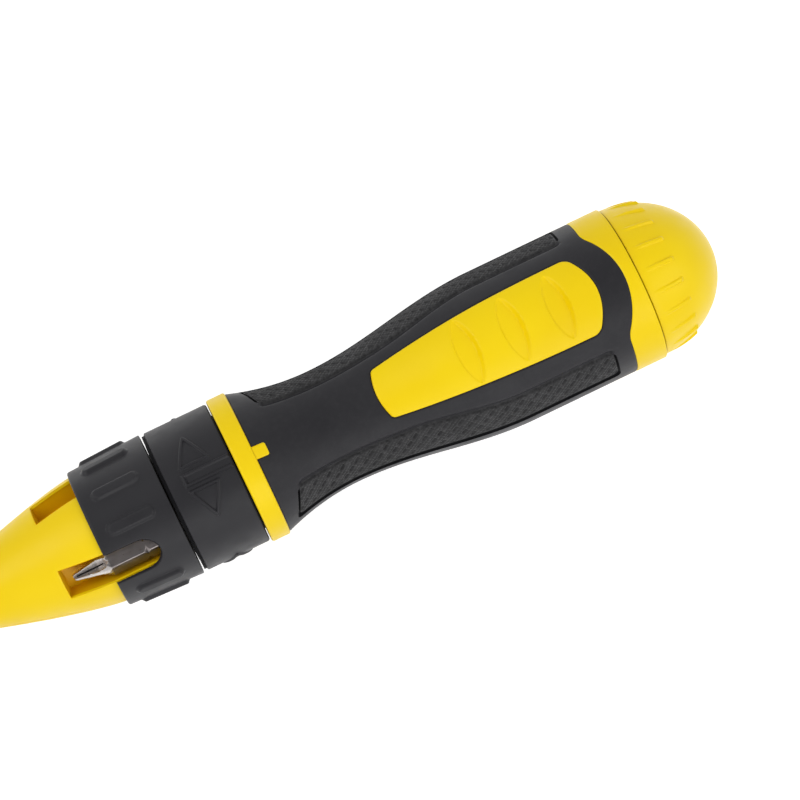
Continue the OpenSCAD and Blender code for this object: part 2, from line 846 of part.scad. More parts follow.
module housing_cover() {
    color(zinc)
        difference() {
            rod(cover_x0, cover_x1, neck_r);
            rod(cover_x0 - over, cover_x1 + over, front_bush_r + seat_gap);
            for (turn = [0, 180])
                at(turn)
                    translate([0, 0, pawl_pin_r])
                        rod(cover_x1 - pin_seat, cover_x1 + over, pawl_pin_rad + seat_gap, small_fn);
            for (side = [-1, 1])
                translate([0, side * cover_screw_at, 0]) {
                    rod(cover_x0 - over, cover_x1 + over, cover_screw_r + seat_gap, small_fn);
                    turned([[cover_x0 - over, 0],
                        [cover_x0 - over, cover_screw_head_r + over + seat_gap],
                        [cover_x0 + cover_screw_head_r, seat_gap], [cover_x0 + cover_screw_head_r, 0]]);
                }
        }
}

module cover_screws() {
    color(steel)
        for (side = [-1, 1])
            translate([0, side * cover_screw_at, 0])
                difference() {
                    union() {
                        turned([[cover_x0, 0], [cover_x0, cover_screw_head_r],
                            [cover_x0 + cover_screw_head_r, 0]]);
                        rod(cover_x0 + cover_screw_head_r / 2, cover_x0 + cover_screw_len,
                            cover_screw_r, small_fn);
                    }
                    translate([cover_x0, 0, 0])
                        cross_recess(cover_screw_head_r);
                }
}

// Cross recess that opens to -X at zero
module cross_recess(head_r) {
    for (turn = [0, 90])
        at(turn)
            translate([-over, -head_r / 8, -head_r / 2])
                cube([over + head_r / 3, head_r / 4, head_r]);
}

module front_bush() {
    color(brass)
        ring(cover_x0 + axial_gap, cover_x1 - seat_gap, front_bush_r, stem_r + fit_gap);
}

module rear_bush() {
    color(brass)
        ring(chamber_x1 + seat_gap, chamber_x1 + seat_gap + rear_bush_len,
            rear_bush_r - seat_gap, journal_r + fit_gap);
}

module thrust_washers() {
    color(brass) {
        ring(front_washer_x, front_washer_x + washer_t, front_washer_r, stem_r + axial_gap);
        ring(rear_washer_x, rear_washer_x + washer_t, rear_washer_r, journal_r + axial_gap);
    }
}

module pawl_pins() {
    color(steel)
        for (turn = [0, 180])
            at(turn)
                translate([0, 0, pawl_pin_r])
                    rod(cover_x1 - pin_seat + seat_gap, pawl_window_x1 + 2 * pin_seat - seat_gap,
                        pawl_pin_rad, small_fn);
}

module selector_leaf() {
    color(steel)
        at(selector_leaf_roll)
            leaf(selector_leaf_x, neck_r - leaf_pocket);
}

// Outline of the gear: symmetrical teeth, so that either nose of a pawl can drive it
module gear_outline() {
    pitch = 360 / gear_teeth;
    tip_half = asin(tooth_land / 2 / gear_tip_r);
    root_half = asin(tooth_land / 2 / gear_root_r);
    polygon([for (i = [0 : gear_teeth - 1], p = [
            [gear_tip_r, -tip_half], [gear_tip_r, tip_half],
            [gear_root_r, pitch / 2 - root_half], [gear_root_r, pitch / 2 + root_half]])
        p[0] * [cos(i * pitch + p[1]), sin(i * pitch + p[1])]]);
}

module ratchet_gear() {
    color(steel)
        along(gear_x0, gear_x1)
            difference() {
                gear_outline();
                hexagon(seat_af + 2 * seat_gap);
            }
}

// Retaining ring with a gap at its foot
module retaining_ring(x, t, r_in, w) {
    difference() {
        ring(x, x + t, r_in + w, r_in);
        translate([x - over, -r_in / 3, -2 * (r_in + w)])
            cube([t + 2 * over, 2 * r_in / 3, 2 * (r_in + w)]);
    }
}

module gear_clip() {
    color(steel)
        retaining_ring(gear_clip_x, gear_clip_t, gear_clip_r, gear_clip_w);
}

// Pawl: a rocker on its pin, with a nose at each end and a flat back that the plunger presses on
module pawl(turn) {
    top = pawl_pin_r + pawl_back;
    foot = pawl_pin_r - pawl_under;
    spread = pawl_nose_len * tan(pawl_nose_flank);
    color(steel)
        at(turn)
            along(cover_x1 + run_gap, pawl_window_x1 - run_gap)
                difference() {
                    union() {
                        polygon([[-pawl_arm + bevel, foot], [pawl_arm - bevel, foot],
                            [pawl_arm, foot + bevel], [pawl_arm, top - bevel],
                            [pawl_arm - bevel, top], [-pawl_arm + bevel, top],
                            [-pawl_arm, top - bevel], [-pawl_arm, foot + bevel]]);
                        for (side = [-1, 1])
                            rotate(-side * pawl_nose_angle)
                                translate([side * pawl_nose_bias, pawl_nose_r])
                                    polygon([[-pawl_nose_w, 0], [pawl_nose_w, 0],
                                        [pawl_nose_w + spread, pawl_nose_len],
                                        [-pawl_nose_w - spread, pawl_nose_len]]);
                    }
                    translate([0, pawl_pin_r])
                        circle(r = pawl_pin_rad + fit_gap, $fn = small_fn);
                }
}

module pawl_upper() {
    pawl(0);
}

module pawl_lower() {
    pawl(180);
}

// Selector ring

module selector_ring() {
    color(black)
        difference() {
            union() {
                turned([[selector_x0, selector_bore_r + fine_bevel], [selector_x0, selector_r - bevel],
                    [selector_x0 + bevel, selector_r], [selector_x1 - bevel, selector_r],
                    [selector_x1, selector_r - bevel], [selector_x1, selector_bore_r + fine_bevel],
                    [selector_x1 - fine_bevel, selector_bore_r],
                    [selector_x0 + fine_bevel, selector_bore_r]]);
                for (turn = [0, 180])
                    at(turn)
                        translate([lug_x0, -lug_w / 2, lug_in_r])
                            cube([lug_x1 - lug_x0, lug_w, (selector_bore_r + selector_r) / 2 - lug_in_r]);
            }
            for (turn = [0, 180])
                at(turn)
                    translate([plunger_x, 0, lug_in_r - over])
                        cylinder(r = ball_r + fit_gap, h = plunger_r1 - lug_in_r + over, $fn = small_fn);
            for (step = [-1 : 1])
                at(selector_leaf_roll + step * selector_turn)
                    click_dent(selector_leaf_x, selector_bore_r);
        }
}

module plunger_balls() {
    color(steel)
        for (turn = [0, 180])
            at(turn)
                translate([plunger_x, 0, ball_at])
                    sphere(r = ball_r, $fn = small_fn);
}

// Points of a ring of wire at one step of a coil about Z
function coil_ring(step, r, rise) =
    let (a = 360 / spring_steps * step)
    [for (i = [0 : spring_sides - 1])
        let (b = 360 / spring_sides * i)
        [(r + spring_wire_r * cos(b)) * cos(a), (r + spring_wire_r * cos(b)) * sin(a),
            rise * step + spring_wire_r * sin(b)]];

// Coil spring about Z between two heights
module coil(z0, z1, r) {
    steps = spring_turns * spring_steps;
    rise = (z1 - z0 - 2 * spring_wire_r) / steps;
    sides = spring_sides;
    translate([0, 0, z0 + spring_wire_r])
        polyhedron(
            points = [for (s = [0 : steps]) each coil_ring(s, r, rise)],
            faces = concat(
                [[for (i = [0 : sides - 1]) i]],
                [for (s = [0 : steps - 1], i = [0 : sides - 1])
                    let (j = (i + 1) % sides)
                    [s * sides + i, (s + 1) * sides + i, (s + 1) * sides + j]],
                [for (s = [0 : steps - 1], i = [0 : sides - 1])
                    let (j = (i + 1) % sides)
                    [s * sides + i, (s + 1) * sides + j, s * sides + j]],
                [[for (i = [sides - 1 : -1 : 0]) steps * sides + i]]));
}

module plunger_springs() {
    color(steel)
        for (turn = [0, 180])
            at(turn)
                translate([plunger_x, 0, 0])
                    coil(ball_at + ball_r + seat_gap, plunger_r1 - seat_gap, ball_r - 1.5 * spring_wire_r);
}

// Spindle

module spindle() {
    seat_x1 = gear_x1 - seat_gap;
    spindle_x1 = seat_x1 + journal_len;
    groove_r = gear_clip_r - seat_gap;
    color(steel)
        difference() {
            union() {
                turned([[0, 0], [0, shank_r - fine_bevel], [fine_bevel, shank_r],
                    [nose_x0 - seat_gap, shank_r], [nose_x0 - seat_gap, stem_r],
                    [gear_x0 - seat_gap, stem_r], [gear_x0 - seat_gap, 0]]);
                along(gear_x0 - over, seat_x1)
                    hexagon(seat_af);
                turned([[seat_x1 - over, 0], [seat_x1 - over, journal_r],
                    [gear_clip_x - seat_gap, journal_r], [gear_clip_x - seat_gap, groove_r],
                    [gear_clip_x + gear_clip_t + seat_gap, groove_r],
                    [gear_clip_x + gear_clip_t + seat_gap, journal_r],
                    [spindle_x1 - bevel, journal_r], [spindle_x1, journal_r - bevel],
                    [spindle_x1, 0]]);
            }
            along(-over, socket_depth)
                hexagon(socket_af);
            turned([[-over, 0], [-over, bit_corner_r + over + fine_bevel],
                [bit_corner_r + fine_bevel - bit_af / 2, bit_af / 2],
                [bit_corner_r + fine_bevel - bit_af / 2, 0]]);
            rod(socket_depth - over, socket_depth + magnet_len + axial_gap, magnet_r + seat_gap,
                small_fn);
            rod(bit_clip_at - seat_gap, bit_clip_at + bit_clip_t + seat_gap,
                bit_clip_r + bit_clip_w + seat_gap);
            at(nose_roll)
                for (side = [0, 180])
                    at(side)
                        translate([flat_x0, -stem_r, stem_r - flat_depth])
                            cube([flat_len, 2 * stem_r, 2 * flat_depth]);
        }
}

module bit_magnet() {
    color(zinc)
        rod(socket_depth + seat_gap, socket_depth + magnet_len, magnet_r, small_fn);
}

module bit_clip() {
    color(steel)
        retaining_ring(bit_clip_at, bit_clip_t, bit_clip_r, bit_clip_w);
}

module chuck_bit() {
    color(steel)
        translate([socket_depth, 0, 0])
            cross_bit();
}

// Nose

// Radius of the nose at a share of its taper
nose_taper = 1.27;
nose_steps = 8;
function nose_cone_r(t) = nose_front_r + (nose_r - nose_front_r) * (1 - pow(1 - t, nose_taper));

// One slot of the nose: open at the surface, with a sloped front wall
module nose_slot() {
    across(slot_w)
        polygon([[slot_x0 + slot_slope, slot_floor_r], [slot_x1, slot_floor_r],
            [slot_x1, 2 * nose_r], [slot_x0 - slot_slope, 2 * nose_r]]);
}

// The whole nose, before it is split: its middle lies on +Z
module nose_body() {
    groove_r = circlip_r - seat_gap;
    difference() {
        turned(concat([[nose_x0, 0], [nose_x0, nose_front_r - bevel]],
            [for (i = [0 : nose_steps]) [nose_x0 + (i == 0 ? bevel : nose_cone_len * i / nose_steps),
                nose_cone_r(i / nose_steps)]],
            [[barrel_x1, nose_r], [barrel_x1, nose_spigot_r],
            [circlip_x0 - seat_gap, nose_spigot_r], [circlip_x0 - seat_gap, groove_r],
            [circlip_x0 + circlip_t + seat_gap, groove_r],
            [circlip_x0 + circlip_t + seat_gap, nose_spigot_r],
            [nose_x1, nose_spigot_r], [nose_x1, 0]]));
        difference() {
            rod(nose_x0 - over, nose_x1 + over, stem_r + seat_gap);
            for (side = [0, 180])
                at(side)
                    translate([flat_x0 + seat_gap, -2 * stem_r, stem_r - flat_depth + seat_gap])
                        cube([flat_len - 2 * seat_gap, 4 * stem_r, 2 * flat_depth]);
        }
        for (roll = slot_rolls)
            at(roll - nose_roll)
                nose_slot();
        leaf_pocket_cut(collar_leaf_x, nose_r);
        for (side = [-1, 1])
            translate([nose_x0 + nose_screw_at, side * nose_screw_y, 0]) {
                translate([0, 0, -nose_screw_seat - over])
                    cylinder(d = nose_screw_d + 2 * seat_gap,
                        h = nose_screw_seat + nose_screw_bite + axial_gap + over, $fn = small_fn);
                translate([0, 0, -2 * nose_r])
                    cylinder(r = nose_screw_head_r + axial_gap, h = 2 * nose_r - nose_screw_seat,
                        $fn = small_fn);
            }
    }
}

// Half space on one side of the split
module nose_half(side) {
    translate([nose_x0 - over, -2 * nose_r, side > 0 ? 0 : -2 * nose_r])
        cube([nose_x1 - nose_x0 + 2 * over, 4 * nose_r, 2 * nose_r]);
}

module nose_shell_upper() {
    color(yellow)
        at(nose_roll)
            intersection() {
                nose_body();
                nose_half(1);
            }
}

module nose_shell_lower() {
    color(yellow)
        at(nose_roll)
            intersection() {
                nose_body();
                nose_half(-1);
            }
}

module nose_screws() {
    color(steel)
        at(nose_roll)
            for (side = [-1, 1])
                translate([nose_x0 + nose_screw_at, side * nose_screw_y, -nose_screw_seat - seat_gap])
                    difference() {
                        union() {
                            cylinder(d = nose_screw_d, h = nose_screw_seat + nose_screw_bite,
                                $fn = small_fn);
                            translate([0, 0, -nose_screw_head_t])
                                cylinder(r = nose_screw_head_r, h = nose_screw_head_t, $fn = small_fn);
                        }
                        translate([0, 0, -nose_screw_head_t])
                            rotate([0, -90, 0])
                                cross_recess(nose_screw_head_r);
                    }
}

module collar_leaf() {
    color(steel)
        at(nose_roll)
            leaf(collar_leaf_x, nose_r - leaf_pocket);
}

module collar_circlip() {
    color(steel)
        at(nose_roll + 90)
            retaining_ring(circlip_x0, circlip_t, circlip_r, circlip_w);
}

// Front collar

module front_collar() {
    flange_bore_r = nose_spigot_r + run_gap;
    clip_room_r = circlip_r + circlip_w + run_gap;
    taper = (collar_rear_r - collar_front_r) / collar_len;
    rib_x0 = collar_x0 + (collar_len - collar_rib_len) * 0.46;
    color(black)
        difference() {
            union() {
                turned([[collar_x0, collar_bore_r], [collar_x0, collar_front_r - bevel],
                    [collar_x0 + bevel, collar_front_r], [collar_x1 - bevel, collar_rear_r],
                    [collar_x1, collar_rear_r - bevel], [collar_x1, clip_room_r],
                    [flange_x1, clip_room_r], [flange_x1, flange_bore_r],
                    [flange_x0, flange_bore_r], [flange_x0, collar_bore_r]]);
                for (i = [1 : collar_places - 1])
                    at(window_roll + 360 / collar_places * i)
                        translate([rib_x0, 0, collar_front_r + taper * (rib_x0 - collar_x0)])
                            rotate([0, -atan(taper), 0])
                                translate([0, 0, -collar_rib_h / 2])
                                    linear_extrude(1.5 * collar_rib_h)
                                        stadium(collar_rib_len, collar_rib_w);
            }
            at(window_roll)
                translate([collar_x0 - window_w, 0, bit_circle_r])
                    linear_extrude(2 * collar_rear_r)
                        stadium(window_w + window_len, window_w);
            for (turn = [0, 2 * slot_angle, 2 * slot_angle - 180, 180])
                at(nose_roll + turn)
                    click_dent(collar_leaf_x, collar_bore_r);
        }
}

// End of the handle

module bit_rack() {
    color(black)
        difference() {
            turned([[store_x0 + seat_gap, 0], [store_x0 + seat_gap, store_r - seat_gap],
                [rack_x1 - bevel, store_r - seat_gap], [rack_x1, store_r - seat_gap - bevel],
                [rack_x1, 0]]);
            for (i = [0 : rack_places - 1])
                at(360 / rack_places * i)
                    translate([0, 0, rack_circle_r])
                        along(rack_x1 - rack_depth, rack_x1 + over)
                            hexagon(socket_af);
        }
}

// Radius of the dome at a station
function dome_at(x) = dome_r * sqrt(1 - pow((x - cap_x0) / dome_len, 2));

module end_cap() {
    seal_room_x1 = seal_x0 + seal_t + seat_gap;
    bore_x1 = cap_x0 + cap_bore_len;
    inner_len = dome_len - dome_wall;
    inner_r = dome_r - dome_wall;
    first = asin(cap_bore_len / inner_len);
    function on_dome(a, l, r) = [cap_x0 + l * sin(a), r * cos(a)];
    color(yellow)
        difference() {
            union() {
                turned(concat([for (i = [0 : dome_steps]) on_dome(90 * i / dome_steps, dome_len, dome_r)],
                    [[cap_x0, 0]]));
                for (i = [0 : cap_ribs - 1])
                    at(cap_rib_roll + 360 / cap_ribs * i)
                        across(cap_rib_w)
                            polygon(concat([for (t = [0 : 3])
                                let (x = cap_x0 + cap_rib_at + cap_rib_len * t / 3)
                                [x, dome_at(x) + cap_rib_h * (t / 3 * (1 + cap_rib_sink) - cap_rib_sink)]],
                                [[cap_x0 + cap_rib_at + cap_rib_len, cap_bore_r],
                                [cap_x0 + cap_rib_at, cap_bore_r + dome_wall / 2]]));
            }
            turned(concat([[cap_x0 - over, 0], [cap_x0 - over, cap_neck_r + seal_w + 2 * seat_gap],
                [seal_room_x1, cap_neck_r + seal_w + 2 * seat_gap], [seal_room_x1, cap_bore_r],
                [bore_x1, cap_bore_r]],
                [for (i = [0 : dome_steps])
                    on_dome(first + (90 - first) * i / dome_steps, inner_len, inner_r)]));
        }
}

module cap_seal() {
    color(black)
        ring(seal_x0, seal_x0 + seal_t, cap_neck_r + seal_w, cap_neck_r + axial_gap);
}

// Bits in the nose and in the rack

module nose_bit_cross() {
    color(steel)
        in_nose(0)
            cross_bit();
}

module nose_bit_flat() {
    color(steel)
        in_nose(2)
            flat_bit(flat_large_t);
}

module nose_bit_star() {
    color(steel)
        in_nose(3)
            star_bit();
}

module rack_bit_flat_small() {
    color(steel)
        in_rack(0)
            flat_bit(flat_small_t);
}

module rack_bit_flat_large() {
    color(steel)
        in_rack(1)
            flat_bit(flat_large_t);
}

module rack_bit_cross() {
    color(steel)
        in_rack(2)
            cross_bit();
}

module rack_bit_star() {
    color(steel)
        in_rack(3)
            star_bit();
}

module rack_bit_hex() {
    color(steel)
        in_rack(4)
            hex_bit();
}

module rack_bit_square() {
    color(steel)
        in_rack(5)
            square_bit();
}

handle_core();
handle_grip();
ratchet_housing();
housing_cover();
cover_screws();
front_bush();
rear_bush();
thrust_washers();
pawl_pins();
selector_leaf();
bit_rack();
rack_bit_flat_small();
rack_bit_flat_large();
rack_bit_cross();
rack_bit_star();
rack_bit_hex();
rack_bit_square();
spindle();
ratchet_gear();
gear_clip();
bit_magnet();
bit_clip();
nose_shell_upper();
nose_shell_lower();
nose_screws();
collar_leaf();
collar_circlip();
nose_bit_cross();
nose_bit_flat();
nose_bit_star();
front_collar();
selector_ring();
plunger_springs();
plunger_balls();
pawl_upper();
pawl_lower();
chuck_bit();
cap_seal();
end_cap();
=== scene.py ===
"""Looks of the ratcheting screwdriver: detailed skins, materials, floor, light and camera.

Lengths are in millimetres until a mesh is made. A roll is measured from +Z towards -Y about the
tool's axis. A skin replaces a CAD node with a finer surface, under which most skins keep the
node's own faces where the tool is plain or hidden.
"""

import json
import math

import bmesh
import bpy
import numpy as np
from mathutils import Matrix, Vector


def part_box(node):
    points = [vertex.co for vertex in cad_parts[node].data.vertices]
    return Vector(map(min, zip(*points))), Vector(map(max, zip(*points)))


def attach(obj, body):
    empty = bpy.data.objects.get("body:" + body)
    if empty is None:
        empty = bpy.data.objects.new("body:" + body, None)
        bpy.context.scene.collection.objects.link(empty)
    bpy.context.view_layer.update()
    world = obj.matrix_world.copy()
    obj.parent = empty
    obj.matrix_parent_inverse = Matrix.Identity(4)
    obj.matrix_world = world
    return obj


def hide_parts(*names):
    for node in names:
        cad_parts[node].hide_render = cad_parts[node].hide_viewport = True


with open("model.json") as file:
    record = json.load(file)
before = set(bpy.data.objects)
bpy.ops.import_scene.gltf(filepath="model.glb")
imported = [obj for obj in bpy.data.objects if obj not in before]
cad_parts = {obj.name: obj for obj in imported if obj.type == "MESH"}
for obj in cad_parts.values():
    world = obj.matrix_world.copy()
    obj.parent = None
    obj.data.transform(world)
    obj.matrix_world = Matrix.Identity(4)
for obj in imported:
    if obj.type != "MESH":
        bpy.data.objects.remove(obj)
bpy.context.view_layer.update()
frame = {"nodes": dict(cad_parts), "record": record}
NODES = frame["nodes"]
MM = 0.001
FAR = 1e3

# Camera: degrees, millimetres of lens and metres
CAMERA_AZIMUTH = -25.86
CAMERA_ELEVATION = 82.0
CAMERA_LENS = 153.0
CAMERA_DISTANCE = 0.81
CAMERA_TARGET = (0.1399, -0.00125, 0.0)

# Light and floor
WHITE = (1.0, 1.0, 1.0, 1.0)
WORLD_STRENGTH = 0.68
CEILING_DIM = 0.2
FLOOR_HALF = 3.0
FLOOR_GREY = 0.8
FLOOR_GLOW = 0.62

# Stations along the tool, and its main radii
NOSE_X0 = 28.0
CONE_LEN = 33.05
NOSE_R = 16.1
NOSE_FRONT_R = 8.0
NOSE_CURVE = 1.27
COLLAR_X0 = 61.05
COLLAR_X1 = 80.25
COLLAR_LEN = 19.2
COLLAR_FRONT_R = 17.3
COLLAR_FLARE = 0.8
SELECTOR_X0 = 80.7
SELECTOR_X1 = 97.7
SELECTOR_R = 17.9
RING_X0 = 98.0
RING_X1 = 102.8
RING_R = 18.5
NECK_RISE = 3.55
NECK_LEN = 20.0
WAIST_X = 122.8
WAIST_R = 14.55
SWELL_LEN = 44.5
BELLY_R = 19.5
RUBBER_X1 = 194.05
SEAM_X = 201.8
CAP_X0 = 202.05
DOME_LEN = 21.0
DOME_R = 18.9

# Places round the axis, in degrees
NOSE_ROLL = -7.8
SLOT_ANGLE = 43.0


# Camera, floor and light

def new_object(name, data):
    obj = bpy.data.objects.new(name, data)
    bpy.context.scene.collection.objects.link(obj)
    return obj


def new_node(tree, kind, **values):
    """A shader node; an underscore in a value's name stands for a space in the socket's."""
    node = tree.nodes.new(kind)
    for name, value in values.items():
        node.inputs[name.replace("_", " ")].default_value = value
    return node


def aim(obj, back):
    """Turns a camera or lamp so that it looks against the direction back, with no roll."""
    obj.rotation_euler = back.to_track_quat("Z", "Y").to_euler()


def make_camera():
    azimuth = math.radians(CAMERA_AZIMUTH)
    elevation = math.radians(CAMERA_ELEVATION)
    back = Vector((math.sin(azimuth) * math.cos(elevation),
                   -math.cos(azimuth) * math.cos(elevation), math.sin(elevation)))
    data = bpy.data.cameras.new("camera")
    data.sensor_width = 36.0
    data.lens = CAMERA_LENS
    data.clip_start = 0.05
    data.clip_end = 20.0
    camera = new_object("camera", data)
    camera.location = Vector(CAMERA_TARGET) + back * CAMERA_DISTANCE
    aim(camera, back)
    bpy.context.scene.camera = camera


def lamp(name, place, target, size, power):
    data = bpy.data.lights.new(name, "AREA")
    data.shape = "DISK"
    data.size = size
    data.energy = power
    obj = new_object(name, data)
    obj.location = place
    aim(obj, Vector(place) - Vector(target))
    obj.visible_camera = False


def seen_ray(tree):
    """1 where the camera, a reflection or a refraction looks, 0 for light on the object."""
    path = tree.nodes.new("ShaderNodeLightPath")
    last = path.outputs["Is Camera Ray"]
    for kind in ("Is Glossy Ray", "Is Transmission Ray"):
        either = tree.nodes.new("ShaderNodeMath")
        either.operation = "MAXIMUM"
        tree.links.new(last, either.inputs[0])
        tree.links.new(path.outputs[kind], either.inputs[1])
        last = either.outputs[0]
    return last


def by_ray(tree, lit, seen, kind):
    """Gives the output one shader for light on the object and another where it is seen."""
    out = tree.nodes.new(kind)
    mix = tree.nodes.new("ShaderNodeMixShader")
    tree.links.new(seen_ray(tree), mix.inputs[0])
    tree.links.new(lit.outputs[0], mix.inputs[1])
    tree.links.new(seen.outputs[0], mix.inputs[2])
    tree.links.new(mix.outputs[0], out.inputs["Surface"])


def make_world():
    """A white studio whose ceiling is dim where it is seen in a reflection."""
    world = bpy.data.worlds.new("studio")
    world.use_nodes = True
    tree = world.node_tree
    tree.nodes.clear()
    lit = new_node(tree, "ShaderNodeBackground", Color=WHITE, Strength=WORLD_STRENGTH)
    seen = new_node(tree, "ShaderNodeBackground", Color=WHITE)
    way = tree.nodes.new("ShaderNodeTexCoord")
    parts = tree.nodes.new("ShaderNodeSeparateXYZ")
    ceiling = new_node(tree, "ShaderNodeMapRange", From_Min=0.35, From_Max=0.95, To_Min=1.0,
                       To_Max=CEILING_DIM)
    tree.links.new(way.outputs["Generated"], parts.inputs["Vector"])
    tree.links.new(parts.outputs["Z"], ceiling.inputs["Value"])
    tree.links.new(ceiling.outputs["Result"], seen.inputs["Strength"])
    by_ray(tree, lit, seen, "ShaderNodeOutputWorld")
    bpy.context.scene.world = world


def make_floor():
    """A pale floor that keeps the tool's shadow and glows only where it is seen."""
    low = min(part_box(n)[0].z for n in NODES)
    mesh = bpy.data.meshes.new("floor")
    e = FLOOR_HALF
    mesh.from_pydata([(-e, -e, low), (e, -e, low), (e, e, low), (-e, e, low)], [], [(0, 1, 2, 3)])
    obj = new_object("floor", mesh)
    mat = bpy.data.materials.new("floor")
    mat.use_nodes = True
    tree = mat.node_tree
    tree.nodes.clear()
    lit = new_node(tree, "ShaderNodeBsdfDiffuse", Color=(FLOOR_GREY, FLOOR_GREY, FLOOR_GREY, 1.0))
    glow = new_node(tree, "ShaderNodeEmission", Color=WHITE, Strength=FLOOR_GLOW)
    seen = tree.nodes.new("ShaderNodeAddShader")
    tree.links.new(lit.outputs[0], seen.inputs[0])
    tree.links.new(glow.outputs[0], seen.inputs[1])
    by_ray(tree, lit, seen, "ShaderNodeOutputMaterial")
    mesh.materials.append(mat)


# Materials

class Shader:
    """A principled material with helpers for its procedural detail."""

    def __init__(self, name, colour, roughness, metallic=0.0):
        self.mat = bpy.data.materials.new(name)
        self.mat.use_nodes = True
        self.tree = self.mat.node_tree
        self.bsdf = self.tree.nodes["Principled BSDF"]
        self.bsdf.inputs["Base Color"].default_value = (*colour, 1.0)
        self.bsdf.inputs["Roughness"].default_value = roughness
        self.bsdf.inputs["Metallic"].default_value = metallic
        self.place = self.tree.nodes.new("ShaderNodeTexCoord").outputs["Object"]

    def noise(self, scale, detail=3.0, roughness=0.5, stretch=None):
        node = new_node(self.tree, "ShaderNodeTexNoise", Scale=scale, Detail=detail, Roughness=roughness)
        source = self.place
        if stretch:
            turn = new_node(self.tree, "ShaderNodeMapping", Scale=stretch)
            self.tree.links.new(source, turn.inputs["Vector"])
            source = turn.outputs["Vector"]
        self.tree.links.new(source, node.inputs["Vector"])
        return node.outputs["Fac"]

    def remap(self, value, low, high, out_low, out_high):
        node = new_node(self.tree, "ShaderNodeMapRange", From_Min=low, From_Max=high, To_Min=out_low,
                        To_Max=out_high)
        self.tree.links.new(value, node.inputs["Value"])
        return node.outputs["Result"]

    def tint(self, value, colour_a, colour_b):
        """Base colour that runs from one colour to the other with the value."""
        node = self.tree.nodes.new("ShaderNodeMix")
        node.data_type = "RGBA"
        node.inputs["A"].default_value = (*colour_a, 1.0)
        node.inputs["B"].default_value = (*colour_b, 1.0)
        self.tree.links.new(value, node.inputs["Factor"])
        self.tree.links.new(node.outputs["Result"], self.bsdf.inputs["Base Color"])

    def rough(self, value):
        self.tree.links.new(value, self.bsdf.inputs["Roughness"])

    def bump(self, *layers):
        """Layers of (value, height in metres) that follow each other."""
        last = None
        for value, height in layers:
            node = new_node(self.tree, "ShaderNodeBump", Strength=1.0, Distance=height)
            self.tree.links.new(value, node.inputs["Height"])
            if last:
                self.tree.links.new(last, node.inputs["Normal"])
            last = node.outputs["Normal"]
        self.tree.links.new(last, self.bsdf.inputs["Normal"])


def plastic(name, colour, darker, roughness, grain, height, gloss=0.5):
    """Moulded plastic: soft colour drift, a fine moulded grain and uneven gloss."""
    s = Shader(name, colour, roughness)
    drift = s.noise(45.0, 2.0)
    s.tint(s.remap(drift, 0.35, 0.65, 0.0, 1.0), colour, darker)
    wear = s.noise(220.0, 4.0)
    s.rough(s.remap(wear, 0.3, 0.7, roughness - 0.05, roughness + 0.07))
    s.bump((s.noise(grain, 2.0), height), (s.noise(90.0, 2.0), height * 4))
    s.bsdf.inputs["Specular IOR Level"].default_value = gloss
    return s.mat


def rubber(name, colour, paler, roughness, gloss, grain):
    """Soft rubber: dust in its grain and a dull sheen."""
    s = Shader(name, colour, roughness)
    dust = s.noise(600.0, 5.0, 0.65)
    s.tint(s.remap(dust, 0.45, 0.75, 0.0, 1.0), colour, paler)
    s.rough(s.remap(s.noise(130.0, 4.0), 0.3, 0.7, roughness - 0.06, roughness + 0.08))
    s.bump((s.noise(4200.0, 2.0), grain), (s.noise(900.0, 4.0, 0.6), grain * 3))
    s.bsdf.inputs["Specular IOR Level"].default_value = gloss
    s.bsdf.inputs["Sheen Weight"].default_value = 0.03
    s.bsdf.inputs["Sheen Roughness"].default_value = 0.5
    return s.mat


def metal(name, colour, darker, roughness, scale, height, stretch=(1.0, 1.0, 1.0)):
    """Worked metal: tool marks along one direction and patches of different gloss."""
    s = Shader(name, colour, roughness, 1.0)
    marks = s.noise(scale, 4.0, 0.6, stretch)
    s.tint(s.remap(s.noise(160.0, 3.0), 0.35, 0.65, 0.0, 1.0), colour, darker)
    s.rough(s.remap(marks, 0.3, 0.7, roughness - 0.06, roughness + 0.1))
    s.bump((marks, height), (s.noise(1800.0, 2.0), height * 0.5))
    return s.mat


YELLOW = (0.86, 0.62, 0.0)
YELLOW_DEEP = (0.83, 0.585, 0.0)
BLACK = (0.017, 0.0165, 0.0195)
BLACK_WORN = (0.021, 0.0205, 0.0235)

# Name, colour, second colour, roughness, scale and height of the grain, gloss
PLASTICS = (
    ("core_plastic", YELLOW, YELLOW_DEEP, 0.36, 2600.0, 4e-6, 0.2),
    ("nose_plastic", YELLOW, YELLOW_DEEP, 0.38, 2600.0, 4e-6, 0.22),
    # Painted shade: a deeper orange for the walls and floor of the bit slots
    ("recess_plastic", (0.80, 0.46, 0.0), (0.76, 0.42, 0.0), 0.42, 2600.0, 4e-6, 0.25),
    # Painted shade: near-black for the nose's hub and the thin ring behind it, in the gap between collar
    # and ring
    ("greased_plastic", (0.02, 0.017, 0.012), (0.03, 0.025, 0.015), 0.5, 2600.0, 4e-6, 0.2),
    ("cap_plastic", YELLOW, YELLOW_DEEP, 0.34, 2600.0, 4e-6, 0.22),
    ("collar_plastic", BLACK, BLACK_WORN, 0.44, 3400.0, 8e-6, 0.26),
    ("selector_plastic", BLACK, BLACK_WORN, 0.46, 3400.0, 8e-6, 0.26),
    ("rack_plastic", (0.02, 0.02, 0.022), (0.03, 0.03, 0.032), 0.5, 3400.0, 1e-5),
)

